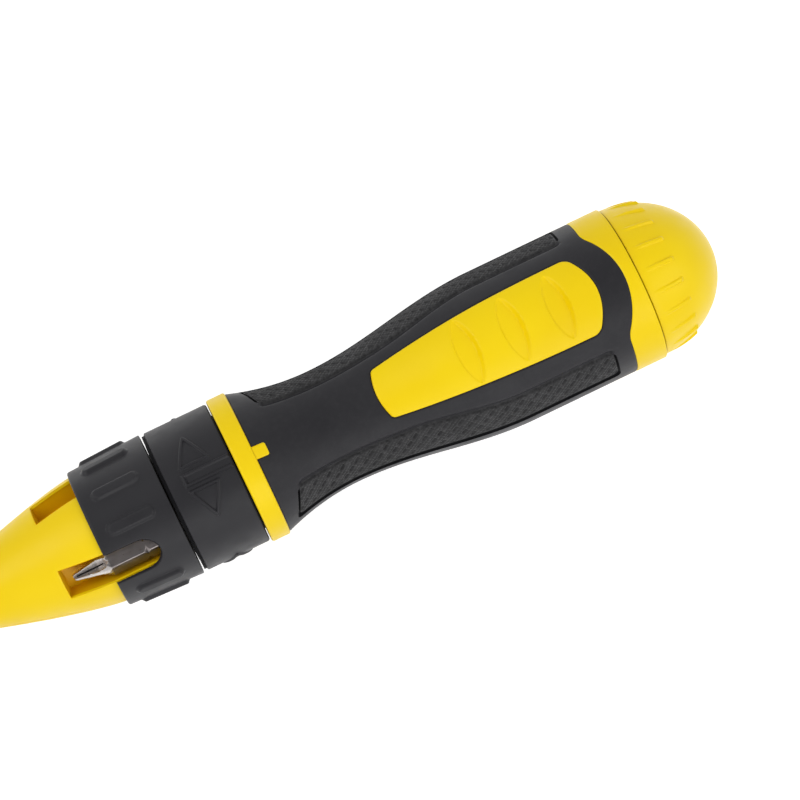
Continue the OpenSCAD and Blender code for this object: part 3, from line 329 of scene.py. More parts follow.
# Name, colour, second colour, roughness, gloss, height of the grain
RUBBERS = (
    ("grip_rubber", BLACK, BLACK_WORN, 0.5, 0.25, 8e-6),
    ("band_rubber", (0.014, 0.0138, 0.015), (0.038, 0.037, 0.039), 0.55, 0.36, 2e-5),
    # Painted shade: near-black rubber for the groove round the grip's bands and the direction ring's front
    # lip
    ("groove_rubber", (0.004, 0.004, 0.005), (0.006, 0.006, 0.007), 0.75, 0.12, 1e-5),
    ("seal_rubber", (0.02, 0.02, 0.02), (0.03, 0.03, 0.03), 0.7, 0.3, 1e-5),
)

# Name, colour, second colour, roughness, scale and height of the marks, stretch of the marks
METALS = (
    ("shank_steel", (0.46, 0.45, 0.44), (0.38, 0.37, 0.36), 0.28, 900.0, 6e-6, (4.0, 1.0, 1.0)),
    ("bit_steel", (0.34, 0.305, 0.30), (0.22, 0.20, 0.195), 0.33, 1500.0, 1e-5, (0.3, 1.0, 1.0)),
    ("bit_tip_steel", (0.62, 0.59, 0.57), (0.46, 0.43, 0.42), 0.27, 1500.0, 8e-6, (0.4, 1.0, 1.0)),
    # Painted shade: dark steel along the valleys of a bit's flutes
    ("bit_flute_steel", (0.05, 0.045, 0.045), (0.035, 0.03, 0.03), 0.6, 1500.0, 8e-6),
    ("tool_steel", (0.40, 0.39, 0.38), (0.28, 0.27, 0.27), 0.36, 1400.0, 8e-6),
    ("spring_steel", (0.50, 0.49, 0.48), (0.42, 0.41, 0.40), 0.25, 1600.0, 4e-6),
    ("screw_steel", (0.50, 0.50, 0.51), (0.42, 0.42, 0.44), 0.3, 1200.0, 5e-6),
    ("magnet_nickel", (0.62, 0.60, 0.56), (0.55, 0.53, 0.50), 0.15, 900.0, 3e-6),
    ("zinc_casting", (0.05, 0.05, 0.053), (0.035, 0.035, 0.038), 0.55, 800.0, 2e-5),
    ("bush_brass", (0.62, 0.43, 0.17), (0.52, 0.35, 0.13), 0.3, 1400.0, 6e-6),
)

MATERIALS = {}
for maker, rows in ((plastic, PLASTICS), (rubber, RUBBERS), (metal, METALS)):
    for row in rows:
        MATERIALS[row[0]] = maker(*row)


def dress_nodes():
    slot_of = {s["node"]: s["material_slot"] for s in frame["record"]["subparts"]}
    for name, obj in NODES.items():
        mat = MATERIALS[slot_of[name]]
        if obj.data.materials:
            for i in range(len(obj.data.materials)):
                obj.data.materials[i] = mat
        else:
            obj.data.materials.append(mat)


# Curves and distances. An outline's distance is negative inside it.

def swell(t):
    return (1.0 - np.cos(np.pi * np.clip(t, 0.0, 1.0))) / 2.0


def smooth(t):
    t = np.clip(t, 0.0, 1.0)
    return t * t * (3.0 - 2.0 * t)


def wrap(roll):
    return (roll + np.pi) % (2 * np.pi) - np.pi


def nearest(turn, count):
    """The number of the nearest of equal places round the axis, and the turn from it."""
    step = 2 * np.pi / count
    place = np.round(turn / step)
    return place, turn - place * step


def corner(a, b, r):
    """Distance to where two outlines overlap, with a round corner."""
    a = a + r
    b = b + r
    return np.hypot(np.maximum(a, 0.0), np.maximum(b, 0.0)) + np.minimum(np.maximum(a, b), 0.0) - r


def edge_drop(d, width, depth):
    """How far a rounded edge falls at a distance from its outline."""
    t = np.clip(1.0 - np.abs(d) / width, 0.0, 1.0)
    return depth * t * t


def round_end(d, r):
    """How far a turned piece's round end falls at a distance from that end."""
    t = np.clip(r - d, 0.0, r)
    return r - np.sqrt(np.maximum(r * r - t * t, 0.0))


def polygon_distance(x, y, points):
    """Signed distance to a small polygon."""
    best = np.full(np.shape(x), 1e9)
    inside = np.zeros(np.shape(x), bool)
    count = len(points)
    for i in range(count):
        ax, ay = points[i]
        bx, by = points[(i + 1) % count]
        ex, ey = bx - ax, by - ay
        t = np.clip(((x - ax) * ex + (y - ay) * ey) / (ex * ex + ey * ey), 0.0, 1.0)
        best = np.minimum(best, np.hypot(x - ax - t * ex, y - ay - t * ey))
        crosses = (ay > y) != (by > y)
        with np.errstate(divide="ignore", invalid="ignore"):
            at = ax + (y - ay) * ex / (ey if ey else 1e-12)
        inside ^= crosses & (x < at)
    return np.where(inside, -best, best)


def nose_r(x):
    t = np.clip((x - NOSE_X0) / CONE_LEN, 0.0, 1.0)
    return NOSE_FRONT_R + (NOSE_R - NOSE_FRONT_R) * (1.0 - (1.0 - t) ** NOSE_CURVE)


def collar_r(x):
    return COLLAR_FRONT_R + COLLAR_FLARE * (x - COLLAR_X0) / (COLLAR_X1 - COLLAR_X0)


def handle_r(x):
    front = WAIST_R + NECK_RISE * ((WAIST_X - x) / NECK_LEN) ** 2
    return np.where(x < WAIST_X, front, WAIST_R + (BELLY_R - WAIST_R) * swell((x - WAIST_X) / SWELL_LEN))


def dome_r(x):
    t = np.clip((x - CAP_X0) / DOME_LEN, 0.0, 1.0)
    return DOME_R * np.sqrt(np.maximum(1 - t * t, 0.0))


# Meshes on a grid round the axis

def on_roll(x, p, r):
    """Points from stations, rolls and radii."""
    return np.stack([x, -r * np.sin(p), r * np.cos(p)], -1).reshape(-1, 3)


def quads_round(rows, cols, closed=True):
    """Faces of a grid of points whose rows run round the axis."""
    i = np.arange(rows - 1)[:, None]
    j = np.arange(cols if closed else cols - 1)[None, :]
    after = (j + 1) % cols
    corners = (i * cols + j, i * cols + after, (i + 1) * cols + after, (i + 1) * cols + j)
    return np.stack(np.broadcast_arrays(*corners), -1).reshape(-1, 4)


def stations(x0, x1, step, edge):
    """Stations between two ends, closer together along the round edges."""
    fine = edge * (1 - np.cos(np.linspace(0, np.pi / 2, 6)))
    middle = np.linspace(x0 + edge, x1 - edge, max(int((x1 - x0) / step), 2))
    return np.concatenate([x0 + fine[:-1], middle, (x1 - fine[:-1])[::-1]])


class Skin:
    """Collects faces round the tool's axis; every outline runs exactly along mesh edges."""

    # Share of a cell within which a point is moved onto an outline, the share that it may then
    # miss it by, and the square of the steepest slope that an outline's distance may have there
    REACH = 0.56
    MISS = 0.06
    STEEPEST = 9.0

    def __init__(self):
        self.points = []
        self.faces = []
        self.slots = []
        self.count = 0

    def add_points(self, points):
        """Adds points in millimetres and returns the index of the first."""
        base = self.count
        self.points.append(points)
        self.count += len(points)
        return base

    def add_faces(self, faces, slots, base):
        """Adds faces, whose indices count from base, with one slot or with one for each."""
        if len(faces):
            self.faces.append(faces + base)
            self.slots.append(np.broadcast_to(slots, len(faces)))

    def grid(self, xs, turns, radius, outlines=(), keep=None, skirt=None, slot=None, span=None):
        """A skin of the given radius over the stations xs, cut along the outlines.

        keep takes the side of each outline that a face lies on, and says which faces stay.
        slot takes the same and gives each face's material.
        skirt takes the stations and radii of a border, and gives the radii where its wall ends.
        """
        start, end = span if span else (0.0, 2 * np.pi)
        closed = span is None
        rolls = np.linspace(start, end, turns, endpoint=not closed)
        x, p = np.meshgrid(np.asarray(xs, float), rolls, indexing="ij")
        sides = []
        for outline in outlines:
            x, p, side = self.snap(x, p, outline, radius)
            sides.append(side.reshape(-1))
        r = radius(x, p)
        quads = quads_round(*x.shape, closed)
        base = self.add_points(on_roll(x, p, r))
        groups = []
        for f in self.split(quads, sides):
            where = [s[f].mean(1) for s in sides]
            stay = keep(where) if keep else np.ones(len(f), bool)
            f = f[stay]
            which = slot([w[stay] for w in where]) if slot else np.zeros(len(f), int)
            groups.append((f, which))
            for k in np.unique(which):
                self.add_faces(f[which == k], k, base)
        if skirt:
            self.wall(groups, x.reshape(-1), p.reshape(-1), r.reshape(-1), base, skirt)

    def snap(self, x, p, outline, radius):
        """Moves points near an outline onto it, and gives each point's side, 0 on the outline."""
        arc = float(np.median(radius(x, p))) * abs(p[0, 1] - p[0, 0])
        cell = max(float(np.median(np.abs(np.diff(x[:, 0])))), arc)
        e = 0.02
        first = outline(x, p)
        near = None
        for _ in range(3):
            r = np.maximum(radius(x, p), 1.0)
            d = outline(x, p)
            gx = (outline(x + e, p) - outline(x - e, p)) / (2 * e)
            ga = (outline(x, p + e / r) - outline(x, p - e / r)) / (2 * e)
            gx[0] = 0.0
            gx[-1] = 0.0
            g2 = np.maximum(gx * gx + ga * ga, 0.04)
            if near is None:
                near = (np.abs(d) < self.REACH * cell * np.sqrt(g2)) & (g2 < self.STEEPEST)
            step = np.clip(d / g2, -cell, cell)
            x = np.where(near, x - step * gx, x)
            p = np.where(near, p - step * ga / r, p)
        near &= np.abs(outline(x, p)) < self.MISS * cell
        return x, p, np.where(near, 0.0, np.where(first == 0, 1e-9, first))

    @staticmethod
    def split(quads, sides):
        """Cuts the quads that an outline crosses from corner to corner into triangles."""
        cut = np.zeros(len(quads), int)
        for s in sides:
            c = np.sign(s[quads])
            crossing = (c.min(1) < 0) & (c.max(1) > 0)
            first = (c[:, 0] == 0) & (c[:, 2] == 0)
            second = (c[:, 1] == 0) & (c[:, 3] == 0)
            cut = np.where(crossing & first, 1, np.where(crossing & second, 2, cut))
        a = quads[cut == 1]
        b = quads[cut == 2]
        return quads[cut == 0], np.concatenate([a[:, [0, 1, 2]], a[:, [0, 2, 3]],
                                                b[:, [0, 1, 3]], b[:, [1, 2, 3]]])

    def wall(self, groups, x, p, r, base, skirt):
        """Lets a wall down from every border of the faces."""
        edges = []
        owners = []
        for f, which in groups:
            n = f.shape[1]
            for k in range(n):
                edges.append(np.stack([f[:, k], f[:, (k + 1) % n]], -1))
                owners.append(which)
        edges = np.concatenate(edges)
        key = np.sort(edges, 1)
        code = key[:, 0].astype(np.int64) * (len(x) + 1) + key[:, 1]
        _, first, times = np.unique(code, return_index=True, return_counts=True)
        pick = first[times == 1]
        border = edges[pick]
        used = np.unique(border)
        foot = self.add_points(on_roll(x[used], p[used], skirt(x[used], r[used])))
        below = np.full(len(x), -1)
        below[used] = np.arange(len(used)) + foot
        quads = np.stack([border[:, 1] + base, border[:, 0] + base,
                          below[border[:, 0]], below[border[:, 1]]], -1)
        self.add_faces(quads, np.concatenate(owners)[pick], 0)

    def turned(self, profile, turns=256, slot=0):
        """A plain surface of revolution from (x, radius) pairs."""
        profile = np.asarray(profile, float)
        rolls = np.arange(turns) * 2 * np.pi / turns
        x, p = np.meshgrid(profile[:, 0], rolls, indexing="ij")
        r = np.broadcast_to(profile[:, 1:], x.shape)
        base = self.add_points(on_roll(x, p, r))
        self.add_faces(quads_round(len(profile), turns), slot, base)

    def from_node(self, name, drop, slot=0):
        """A copy of a CAD node's faces, without those that drop names from centre, normal and corners."""
        mesh = NODES[name].data
        co = np.empty(len(mesh.vertices) * 3)
        mesh.vertices.foreach_get("co", co)
        co = co.reshape(-1, 3) / MM
        tris = np.array([list(f.vertices) for f in mesh.polygons])
        corners = co[tris]
        normal = np.cross(corners[:, 1] - corners[:, 0], corners[:, 2] - corners[:, 0])
        normal /= np.maximum(np.linalg.norm(normal, axis=1, keepdims=True), 1e-12)
        base = self.add_points(co)
        self.add_faces(tris[~drop(corners.mean(1), normal, corners)], slot, base)

    def build(self, name, materials, body, node, smooth_angle=38.0):
        """Makes the mesh; the first material is also the skin's slot."""
        polys = []
        for f in self.faces:
            polys.extend(f.tolist())
        mesh = bpy.data.meshes.new(name)
        mesh.from_pydata((np.concatenate(self.points) * MM).tolist(), [], polys)
        for m in materials:
            mesh.materials.append(MATERIALS[m])
        mesh.polygons.foreach_set("material_index", np.concatenate(self.slots).astype(np.int32))
        obj = new_object(name, mesh)
        clean(mesh)
        mesh.shade_smooth()
        mesh.set_sharp_from_angle(angle=math.radians(smooth_angle))
        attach(obj, body)
        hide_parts(node)


def clean(mesh):
    """Joins points in one place and drops loose points and empty faces."""
    bm = bmesh.new()
    bm.from_mesh(mesh)
    bmesh.ops.remove_doubles(bm, verts=bm.verts, dist=2e-6)
    bmesh.ops.dissolve_degenerate(bm, edges=bm.edges, dist=1e-6)
    loose = [v for v in bm.verts if not v.link_faces]
    bmesh.ops.delete(bm, geom=loose, context="VERTS")
    bm.to_mesh(mesh)
    bm.free()


def corner_radii(corners):
    return np.hypot(corners[..., 1], corners[..., 2])


def faces_out(centre, normal, limit):
    """Which faces look away from the axis, by the least part of the normal that does."""
    r = np.hypot(centre[:, 1], centre[:, 2])
    way = centre[:, 1:] / np.maximum(r, 1e-9)[:, None]
    return (normal[:, 1:] * way).sum(1) > limit


def inward(depth):
    """A skirt of one depth."""
    return lambda x, r: r - depth


# Nose

SLOT_ROLLS = [math.radians(NOSE_ROLL + a)
              for a in (SLOT_ANGLE, -SLOT_ANGLE, 180 + SLOT_ANGLE, 180 - SLOT_ANGLE)]
NOSE_TURN = math.radians(NOSE_ROLL)
SLOT_HALF_W = 4.0
SLOT_X0 = 50.5
SLOT_X1 = 77.55
SLOT_FLOOR_R = 5.5
# The slot's front end leans forward: its height at SLOT_X0, and its run for its rise
SLOT_X0_HEIGHT = 8.614
SLOT_RUN = 3.0
SLOT_RISE = 23.586
SCREW_X = 39.0
SCREW_SIDE = 7.8
SCREW_R = 2.14
POCKET_X = 70.65
POCKET_HALF_LEN = 3.0
POCKET_HALF_W = 1.6
NOSE_END_R = 0.6
NOSE_SKIN_X1 = 78.45
HUB_X = 80.0
PAINTED_SHADE_RING = ((80.25, 12.8), (80.5, 12.8), (80.5, 6.0))


def slot_distance(x, p):
    """Distance to the nearest bit slot on the nose's surface."""
    r = nose_r(x)
    best = np.full(np.shape(x), FAR)
    for roll in SLOT_ROLLS:
        side = r * np.sin(p - roll)
        height = r * np.cos(p - roll)
        front = SLOT_X0 - SLOT_RUN * (height - SLOT_X0_HEIGHT) / SLOT_RISE - x
        d = corner(np.abs(side) - SLOT_HALF_W, np.maximum(front, x - SLOT_X1), 0.02)
        best = np.minimum(best, np.where(height > 0, d, FAR))
    return best


def split_distance(x, p):
    """Distance to the plane where the nose's halves meet."""
    return nose_r(x) * np.cos(p - NOSE_TURN)


def screw_distance(x, p):
    """Distance to the two screw heads on the lower half."""
    side = nose_r(x) * np.sin(p - NOSE_TURN)
    d = np.minimum(np.hypot(x - SCREW_X, side - SCREW_SIDE), np.hypot(x - SCREW_X, side + SCREW_SIDE))
    return np.where(split_distance(x, p) < 0, d - SCREW_R, FAR)


def pocket_distance(x, p):
    """Distance to the pocket of the collar's leaf spring, on the upper half."""
    side = nose_r(x) * np.sin(p - NOSE_TURN)
    d = np.maximum(np.abs(x - POCKET_X) - POCKET_HALF_LEN, np.abs(side) - POCKET_HALF_W)
    return np.where(split_distance(x, p) > 0, d, FAR)


def nose_skin_r(x, p):
    r = nose_r(x) - round_end(x - NOSE_X0, NOSE_END_R)
    r = r - edge_drop(slot_distance(x, p), 0.35, 0.16)
    r = r - edge_drop(screw_distance(x, p), 0.4, 0.2)
    return r - edge_drop(split_distance(x, p), 0.3, 0.09)


def in_slot(centre):
    """Which of the node's faces line a bit slot."""
    r = np.hypot(centre[:, 1], centre[:, 2])
    roll = np.arctan2(-centre[:, 1], centre[:, 2])
    side = np.full(len(r), FAR)
    for slot_roll in SLOT_ROLLS:
        turn = wrap(roll - slot_roll)
        side = np.where(np.cos(turn) > 0, np.minimum(side, np.abs(r * np.sin(turn))), side)
    x = centre[:, 0]
    return (side < SLOT_HALF_W + 0.05) & (x > SLOT_X0 - 1.5) & (x < SLOT_X1 + 0.05) & (r > SLOT_FLOOR_R)


def make_nose(half, node):
    """One half of the nose, 1 for the upper and -1 for the lower, with painted shade: a deeper orange in
    the bit slots and near-black on the hub behind it.
    """
    skin = Skin()
    xs = np.concatenate([[28.0, 28.06, 28.14, 28.25, 28.4, 28.6], np.arange(28.85, 78.25, 0.28),
                         [78.25, NOSE_SKIN_X1]])

    def keep(side):
        slot, split, screw, pocket = side
        return (slot > 0) & (split * half > 0) & (screw > 0) & (pocket > 0)

    def drop(centre, normal, corners):
        x = corners[..., 0]
        off = np.abs(corner_radii(corners) - nose_r(x)).max(1)
        return (off < 0.12) & faces_out(centre, normal, 0.75) & (x.max(1) < NOSE_SKIN_X1 + 0.02)

    # Slot 1 is painted shade in the bit slots, slot 2 painted shade on the hub
    def kind(centre, corners):
        return np.where(in_slot(centre), 1, np.where(corners[..., 0].min(1) > HUB_X, 2, 0))

    skin.grid(xs, 420, nose_skin_r, (slot_distance, split_distance, screw_distance, pocket_distance), keep,
              inward(0.5))
    for slot in range(3):
        skin.from_node(node, lambda c, n, k: drop(c, n, k) | (kind(c, k) != slot), slot)
    if half < 0:
        # Painted shade: a thin near-black ring between the nose's hub and the housing's cover, which
        # closes the slit there so that it looks dark
        skin.turned(PAINTED_SHADE_RING, slot=2)
    skin.build(node.replace("shell", "skin"), ["nose_plastic", "recess_plastic", "greased_plastic"],
               "spindle", node)


# Collar

WINDOW_TURN = math.radians(NOSE_ROLL + SLOT_ANGLE)
WINDOW_HALF_W = 4.15
WINDOW_END_X = COLLAR_X0 + 12.6 - WINDOW_HALF_W
RIB_PLACES = 12
RIB_LEN = 12.0
RIB_HALF_W = 1.5
RIB_HEIGHT = 0.88
# Stations of the centres of a rib's two round ends
RIB_X0 = COLLAR_X0 + (COLLAR_LEN - RIB_LEN) * 0.46 + RIB_HALF_W
RIB_X1 = RIB_X0 + RIB_LEN - 2 * RIB_HALF_W


def window_distance(x, p):
    """Distance to the collar's window: a slot with a round end, open at the front."""
    r = collar_r(x)
    side = r * np.sin(p - WINDOW_TURN)
    across = np.where(x < WINDOW_END_X, np.abs(side), np.hypot(x - WINDOW_END_X, side))
    return np.where(r * np.cos(p - WINDOW_TURN) > 0, across - WINDOW_HALF_W, FAR)


def rib_distance(x, p):
    """Distance to the nearest of the collar's ribs; the window takes the place of one."""
    place, turn = nearest(wrap(p - WINDOW_TURN), RIB_PLACES)
    side = collar_r(x) * np.sin(turn)
    d = np.hypot(x - np.clip(x, RIB_X0, RIB_X1), side) - RIB_HALF_W
    return np.where(np.abs(place) < 0.5, FAR, d)


def make_collar():
    skin = Skin()

    def radius(x, p):
        rise = RIB_HEIGHT * swell(0.34 - rib_distance(x, p))
        front = round_end(x - COLLAR_X0, 0.5)
        rear = round_end(COLLAR_X1 - x, 0.22)
        return collar_r(x) + rise - front - rear - edge_drop(window_distance(x, p), 0.3, 0.14)

    def skirt(x, r):
        return r - np.where(x > COLLAR_X1 - 1.0, 0.8, 0.4)

    def drop(centre, normal, corners):
        r = corner_radii(corners)
        base = collar_r(corners[..., 0])
        outer = (r.min(1) > base.min(1) - 0.65) & (r.min(1) > 16.65) & (np.abs(normal[:, 0]) < 0.95)
        rib = r.max(1) > base.max(1) + 0.06
        return rib | (outer & faces_out(centre, normal, 0.3))

    skin.grid(stations(COLLAR_X0, COLLAR_X1, 0.16, 0.6), 760, radius, (window_distance,),
              lambda side: side[0] > 0, skirt)
    skin.from_node("front_collar", drop)
    skin.build("collar_skin", ["collar_plastic"], "collar", "front_collar", 50.0)


# Direction ring

SIGN_COUNT = 3
SIGN_ROLL = -3.5
SIGN_X = 89.2
SIGN_HALF_W = 3.6
SIGN_HEIGHT = 0.44
BAR_X0 = 85.5
BAR_HALF_W = 1.27
# Rolls of each triangle's tip and base, in degrees
TRIANGLES = ((-37.6, -13.4), (29.4, 6.1))
# The lip in front of the ring: its length, its depth, and the length of it that is painted near-black as
# shade
LIP_LEN = 0.55
LIP_DEPTH = 0.55
PAINTED_SHADE_LEN = 0.7
SELECTOR_FRONT_X = SELECTOR_X0 + 0.4


def sign_distance(x, p):
    """Distance to the outlines of the ring's signs: two triangles and a bar, three times round."""
    _, turn = nearest(p - math.radians(SIGN_ROLL), SIGN_COUNT)
    arc = SELECTOR_R * turn
    degree = SELECTOR_R * math.pi / 180.0
    best = np.abs(np.maximum(BAR_X0 - x, np.abs(arc) - BAR_HALF_W))
    for tip, base in TRIANGLES:
        base_arc = (base - SIGN_ROLL) * degree
        points = ((SIGN_X, (tip - SIGN_ROLL) * degree), (SIGN_X - SIGN_HALF_W, base_arc),
                  (SIGN_X + SIGN_HALF_W, base_arc))
        best = np.minimum(best, np.abs(polygon_distance(x, arc, points)))
    return best


def make_selector():
    skin = Skin()

    def radius(x, p):
        rise = SIGN_HEIGHT * smooth((0.46 - sign_distance(x, p)) / 0.24)
        fade = smooth((SELECTOR_X1 - 0.2 - x) / 0.7)
        lip = LIP_DEPTH * (1.0 - smooth((x - SELECTOR_X0 - LIP_LEN) / 0.3))
        front = round_end(x - SELECTOR_FRONT_X, 0.5) * (x > SELECTOR_FRONT_X)
        return SELECTOR_R + rise * fade - np.maximum(lip, front) - round_end(SELECTOR_X1 - x, 0.6)

    # Painted shade: the ring's front, as far as this outline, gets near-black rubber
    def painted_shade_end(x, p):
        return x - SELECTOR_X0 - PAINTED_SHADE_LEN

    def drop(centre, normal, corners):
        return (corner_radii(corners).min(1) > 17.25) & (np.abs(normal[:, 0]) < 0.95)

    skin.grid(stations(SELECTOR_X0, SELECTOR_X1, 0.13, 0.6), 860, radius, (painted_shade_end,), skirt=inward(0.2),
              slot=lambda side: (side[0] < 0).astype(int))
    skin.from_node("selector_ring", drop)
    skin.build("selector_skin", ["selector_plastic", "groove_rubber"], "selector", "selector_ring", 50.0)


# Outlines on the handle

PANEL_X0 = RING_X0 + 36.5
PANEL_X1 = PANEL_X0 + 57.1
PANEL_FRONT_BOW = 1.3
PANEL_REAR_BOW = 3.6
PANEL_FRONT_HALF_W = 6.2
PANEL_REAR_HALF_W = 9.7
PANEL_FLARE = 3.5
# Slopes of the two bows for each millimetre from the middle line
PANEL_FRONT_SLOPE = 2.6 / 38.4
PANEL_REAR_SLOPE = 7.2 / 94.1
TAB_COUNT = 3
TAB_HALF_W = 1.6
TAB_LEN = 3.3
ARCH_HALF_W = 13.0
ARCH_RISE = 4.65
ARCH_R = (ARCH_HALF_W ** 2 + ARCH_RISE ** 2) / (2 * ARCH_RISE)
# Rolls of a band's edges from the panel's middle in degrees, and its two ends
BAND_NEAR = 41.5
BAND_NEAR_SHIFT = 7.2
BAND_FAR = 73.2
BAND_X0 = RING_X0 + 11.2
BAND_X1 = RING_X0 + 91.0
BAND_SLANT = 2.6
BAND_CORNER = 1.3
# Where the band's near edge shifts towards the far one
SHIFT_X0 = RING_X0 + 40.656
SHIFT_LEN = 27.608
DIMPLE_X = PANEL_X0 + 23.5
DIMPLE_PITCH = 11.85
DIMPLE_HALF_W = 8.2
DIMPLE_HALF_LEN = 2.9
DIMPLE_WALL = 0.95
DIMPLE_DEPTH = 1.3
WEAVE_PITCH = 1.233
MARK_PITCH = 3.7
# Distances square to the weave's lines and marks for a millimetre along the tool
WEAVE_SQUARE = 0.87 / WEAVE_PITCH
MARK_SQUARE = 0.707


def panel_distance(x, p):
    """Distance to the nearer panel's outline."""
    y = -handle_r(x) * np.sin(p)
    x0 = PANEL_X0 + PANEL_FRONT_BOW
    x1 = PANEL_X1 - PANEL_REAR_BOW
    t = np.clip((x - x0) / (x1 - x0), 0.0, 1.0)
    side = np.abs(y) - (PANEL_FRONT_HALF_W + PANEL_FLARE * (1 - (1 - t) ** 2.3))
    front = x0 - PANEL_FRONT_BOW * (1 - (y / PANEL_FRONT_HALF_W) ** 2) - x
    rear = x - (x1 + PANEL_REAR_BOW * (1 - (y / PANEL_REAR_HALF_W) ** 2))
    front = front / np.hypot(1, PANEL_FRONT_SLOPE * y)
    rear = rear / np.hypot(1, PANEL_REAR_SLOPE * y)
    return corner(side, np.maximum(front, rear), np.where(x < x0 + 8.0, 0.6, 1.25))


def tab_distance(x, p):
    """Distance to the nearest index tab; the ring itself counts as tab."""
    _, turn = nearest(p, TAB_COUNT)
    side = handle_r(x) * np.sin(turn)
    tab = corner(np.abs(side) - TAB_HALF_W, x - (RING_X1 + TAB_LEN), 0.5)
    return np.minimum(tab, x - RING_X1)


def rear_distance(x, p):
    """Distance to the rubber's rear border, negative on the rubber."""
    y = -BELLY_R * np.sin(p)
    arch = np.hypot(x - (RUBBER_X1 + ARCH_RISE - ARCH_R), y) - ARCH_R
    arch = np.where(np.abs(y) < ARCH_HALF_W + 1.0, arch, FAR)
    return -corner(RUBBER_X1 - x, -arch, 0.8)


def band_distance(x, p):
    """Distances to the nearest textured band and to the outer edge of the groove round it.

    Then come the arc from the band's near edge, and 0 along that edge or 1 along the other edges.
    """
    fold = np.abs(wrap(2 * p)) / 2
    r = handle_r(x)
    near = np.radians(BAND_NEAR + BAND_NEAR_SHIFT * swell((x - SHIFT_X0) / SHIFT_LEN))
    slant = (np.degrees(fold) - BAND_NEAR) / (BAND_FAR - BAND_NEAR)
    x0 = BAND_X0 - BAND_SLANT * np.clip(slant, 0, 1)
    ends = np.maximum(x0 - x, x - BAND_X1)
    close = (near - fold) * r
    away = (fold - math.radians(BAND_FAR)) * r
    rim = smooth(np.maximum(away, ends) - close + 0.5)
    pad = corner(np.maximum(close, away), ends, BAND_CORNER)
    outer = corner(np.maximum(close + 0.4, away - 1.95), ends - 0.6, BAND_CORNER)
    return pad, outer, -close, rim


def pad_outline(x, p):
    return band_distance(x, p)[0]


def groove_outline(x, p):
    return band_distance(x, p)[1]


def dimple(x, p):
    """Depth of the panels' finger dimples, each a lens with a long floor and a short rear wall."""
    y = -handle_r(x) * np.sin(p)
    share = np.clip(1 - (y / DIMPLE_HALF_W) ** 2, 0.0, 1.0)
    reach = np.maximum(DIMPLE_HALF_LEN * share ** 0.6, 0.05)
    wall = np.minimum(DIMPLE_WALL, 0.6 * reach)
    depth = np.zeros(np.shape(x))
    for k in range(3):
        middle = DIMPLE_X + DIMPLE_PITCH * k
        lead = x - middle + reach
        floor = 0.28 * smooth(lead / 0.45) + 0.72 * lead / (2 * reach - wall)
        fall = np.clip(np.minimum(floor, (middle + reach - x) / wall), 0.0, 1.0)
        depth = np.maximum(depth, DIMPLE_DEPTH * fall * np.sqrt(share))
    return depth


def line_offset(along, pitch):
    """Distance along a diagonal to the nearest of a row of lines."""
    return along - pitch * np.round(along / pitch)


def weave(x, arc):
    """Raised knurl of the textured bands, from 0 in its deepest marks to 1 on its tops."""
    lean = x + arc
    back = x - arc
    cut = 0.42 * np.exp(-(line_offset(lean, WEAVE_PITCH) * WEAVE_SQUARE / 0.17) ** 2)
    thin = 0.3 * np.exp(-(line_offset(back, WEAVE_PITCH) * WEAVE_SQUARE / 0.15) ** 2)
    length = smooth((1.6 - np.abs(line_offset(back, MARK_PITCH))) / 0.7)
    mark = np.exp(-(line_offset(lean, MARK_PITCH) * MARK_SQUARE / 0.38) ** 2) * length
    return 1.0 - np.maximum(np.maximum(cut, thin), mark)


# Grip

def grip_radius(x, p):
    pad, outer, arc, rim = band_distance(x, p)
    sunk = 0.48 * smooth(-pad / 0.4)
    valley = 0.75 * (1.0 - rim) * np.exp(-((pad - 0.3) / 0.62) ** 2)
    moat = 0.85 * rim * smooth(np.minimum(pad, -outer) / 0.25)
    texture = 0.62 * weave(x, arc) * smooth((-pad - 0.1) / 0.35)
    r = handle_r(x) - sunk - valley - moat + texture
    r = r - 0.08 - edge_drop(panel_distance(x, p), 0.5, 0.4)
    r = r - edge_drop(tab_distance(x, p), 0.3, 0.15)
    return r - edge_drop(rear_distance(x, p), 0.4, 0.16)


def make_grip():
    skin = Skin()

    def keep(side):
        panel, tab, rear, _, _ = side
        return (panel > 0) & (tab > 0) & (rear < 0)

    # Slot 1 is the bands' rubber; slot 2, the groove round them, is painted shade in near-black rubber
    def slot(side):
        return np.where(side[3] < 0, 1, np.where(side[4] < 0, 2, 0))

    outlines = (panel_distance, tab_distance, rear_distance, pad_outline, groove_outline)
    xs = np.arange(RING_X1, RUBBER_X1 + 4.9, 0.18)
    skin.grid(xs, 720, grip_radius, outlines, keep, inward(1.2), slot)
    skin.build("grip_skin", ["grip_rubber", "band_rubber", "groove_rubber"], "handle", "handle_grip", 60.0)


# Core: front ring with its tabs, panels, rear band and threaded neck

PANEL_SPAN = 0.62
NECK_R = 15.12
THREAD_X0 = SEAM_X + 1.6
THREAD_X1 = SEAM_X + 8.0
THREAD_LEAD = 6.0
THREAD_STARTS = 3
THREAD_HEIGHT = 0.12


def tab_drop(x, p):
    return edge_drop(tab_distance(x, p), 0.3, 0.15)


def ring_radius(x, p):
    ring = RING_R - round_end(np.minimum(x - RING_X0, RING_X1 - x), 0.5)
    return np.where(x <= RING_X1, ring, handle_r(np.maximum(x, RING_X1)) - tab_drop(x, p))


def tab_radius(x, p):
    return handle_r(x) + 0.02 - tab_drop(x, p) * (x > RING_X1 + 0.1)


def panel_radius(x, p):
    return handle_r(x) - dimple(x, p) - edge_drop(panel_distance(x, p), 0.32, 0.12)


def rear_radius(x, p):
    return BELLY_R - edge_drop(rear_distance(x, p), 0.4, 0.16) - round_end(SEAM_X - x, 0.14)


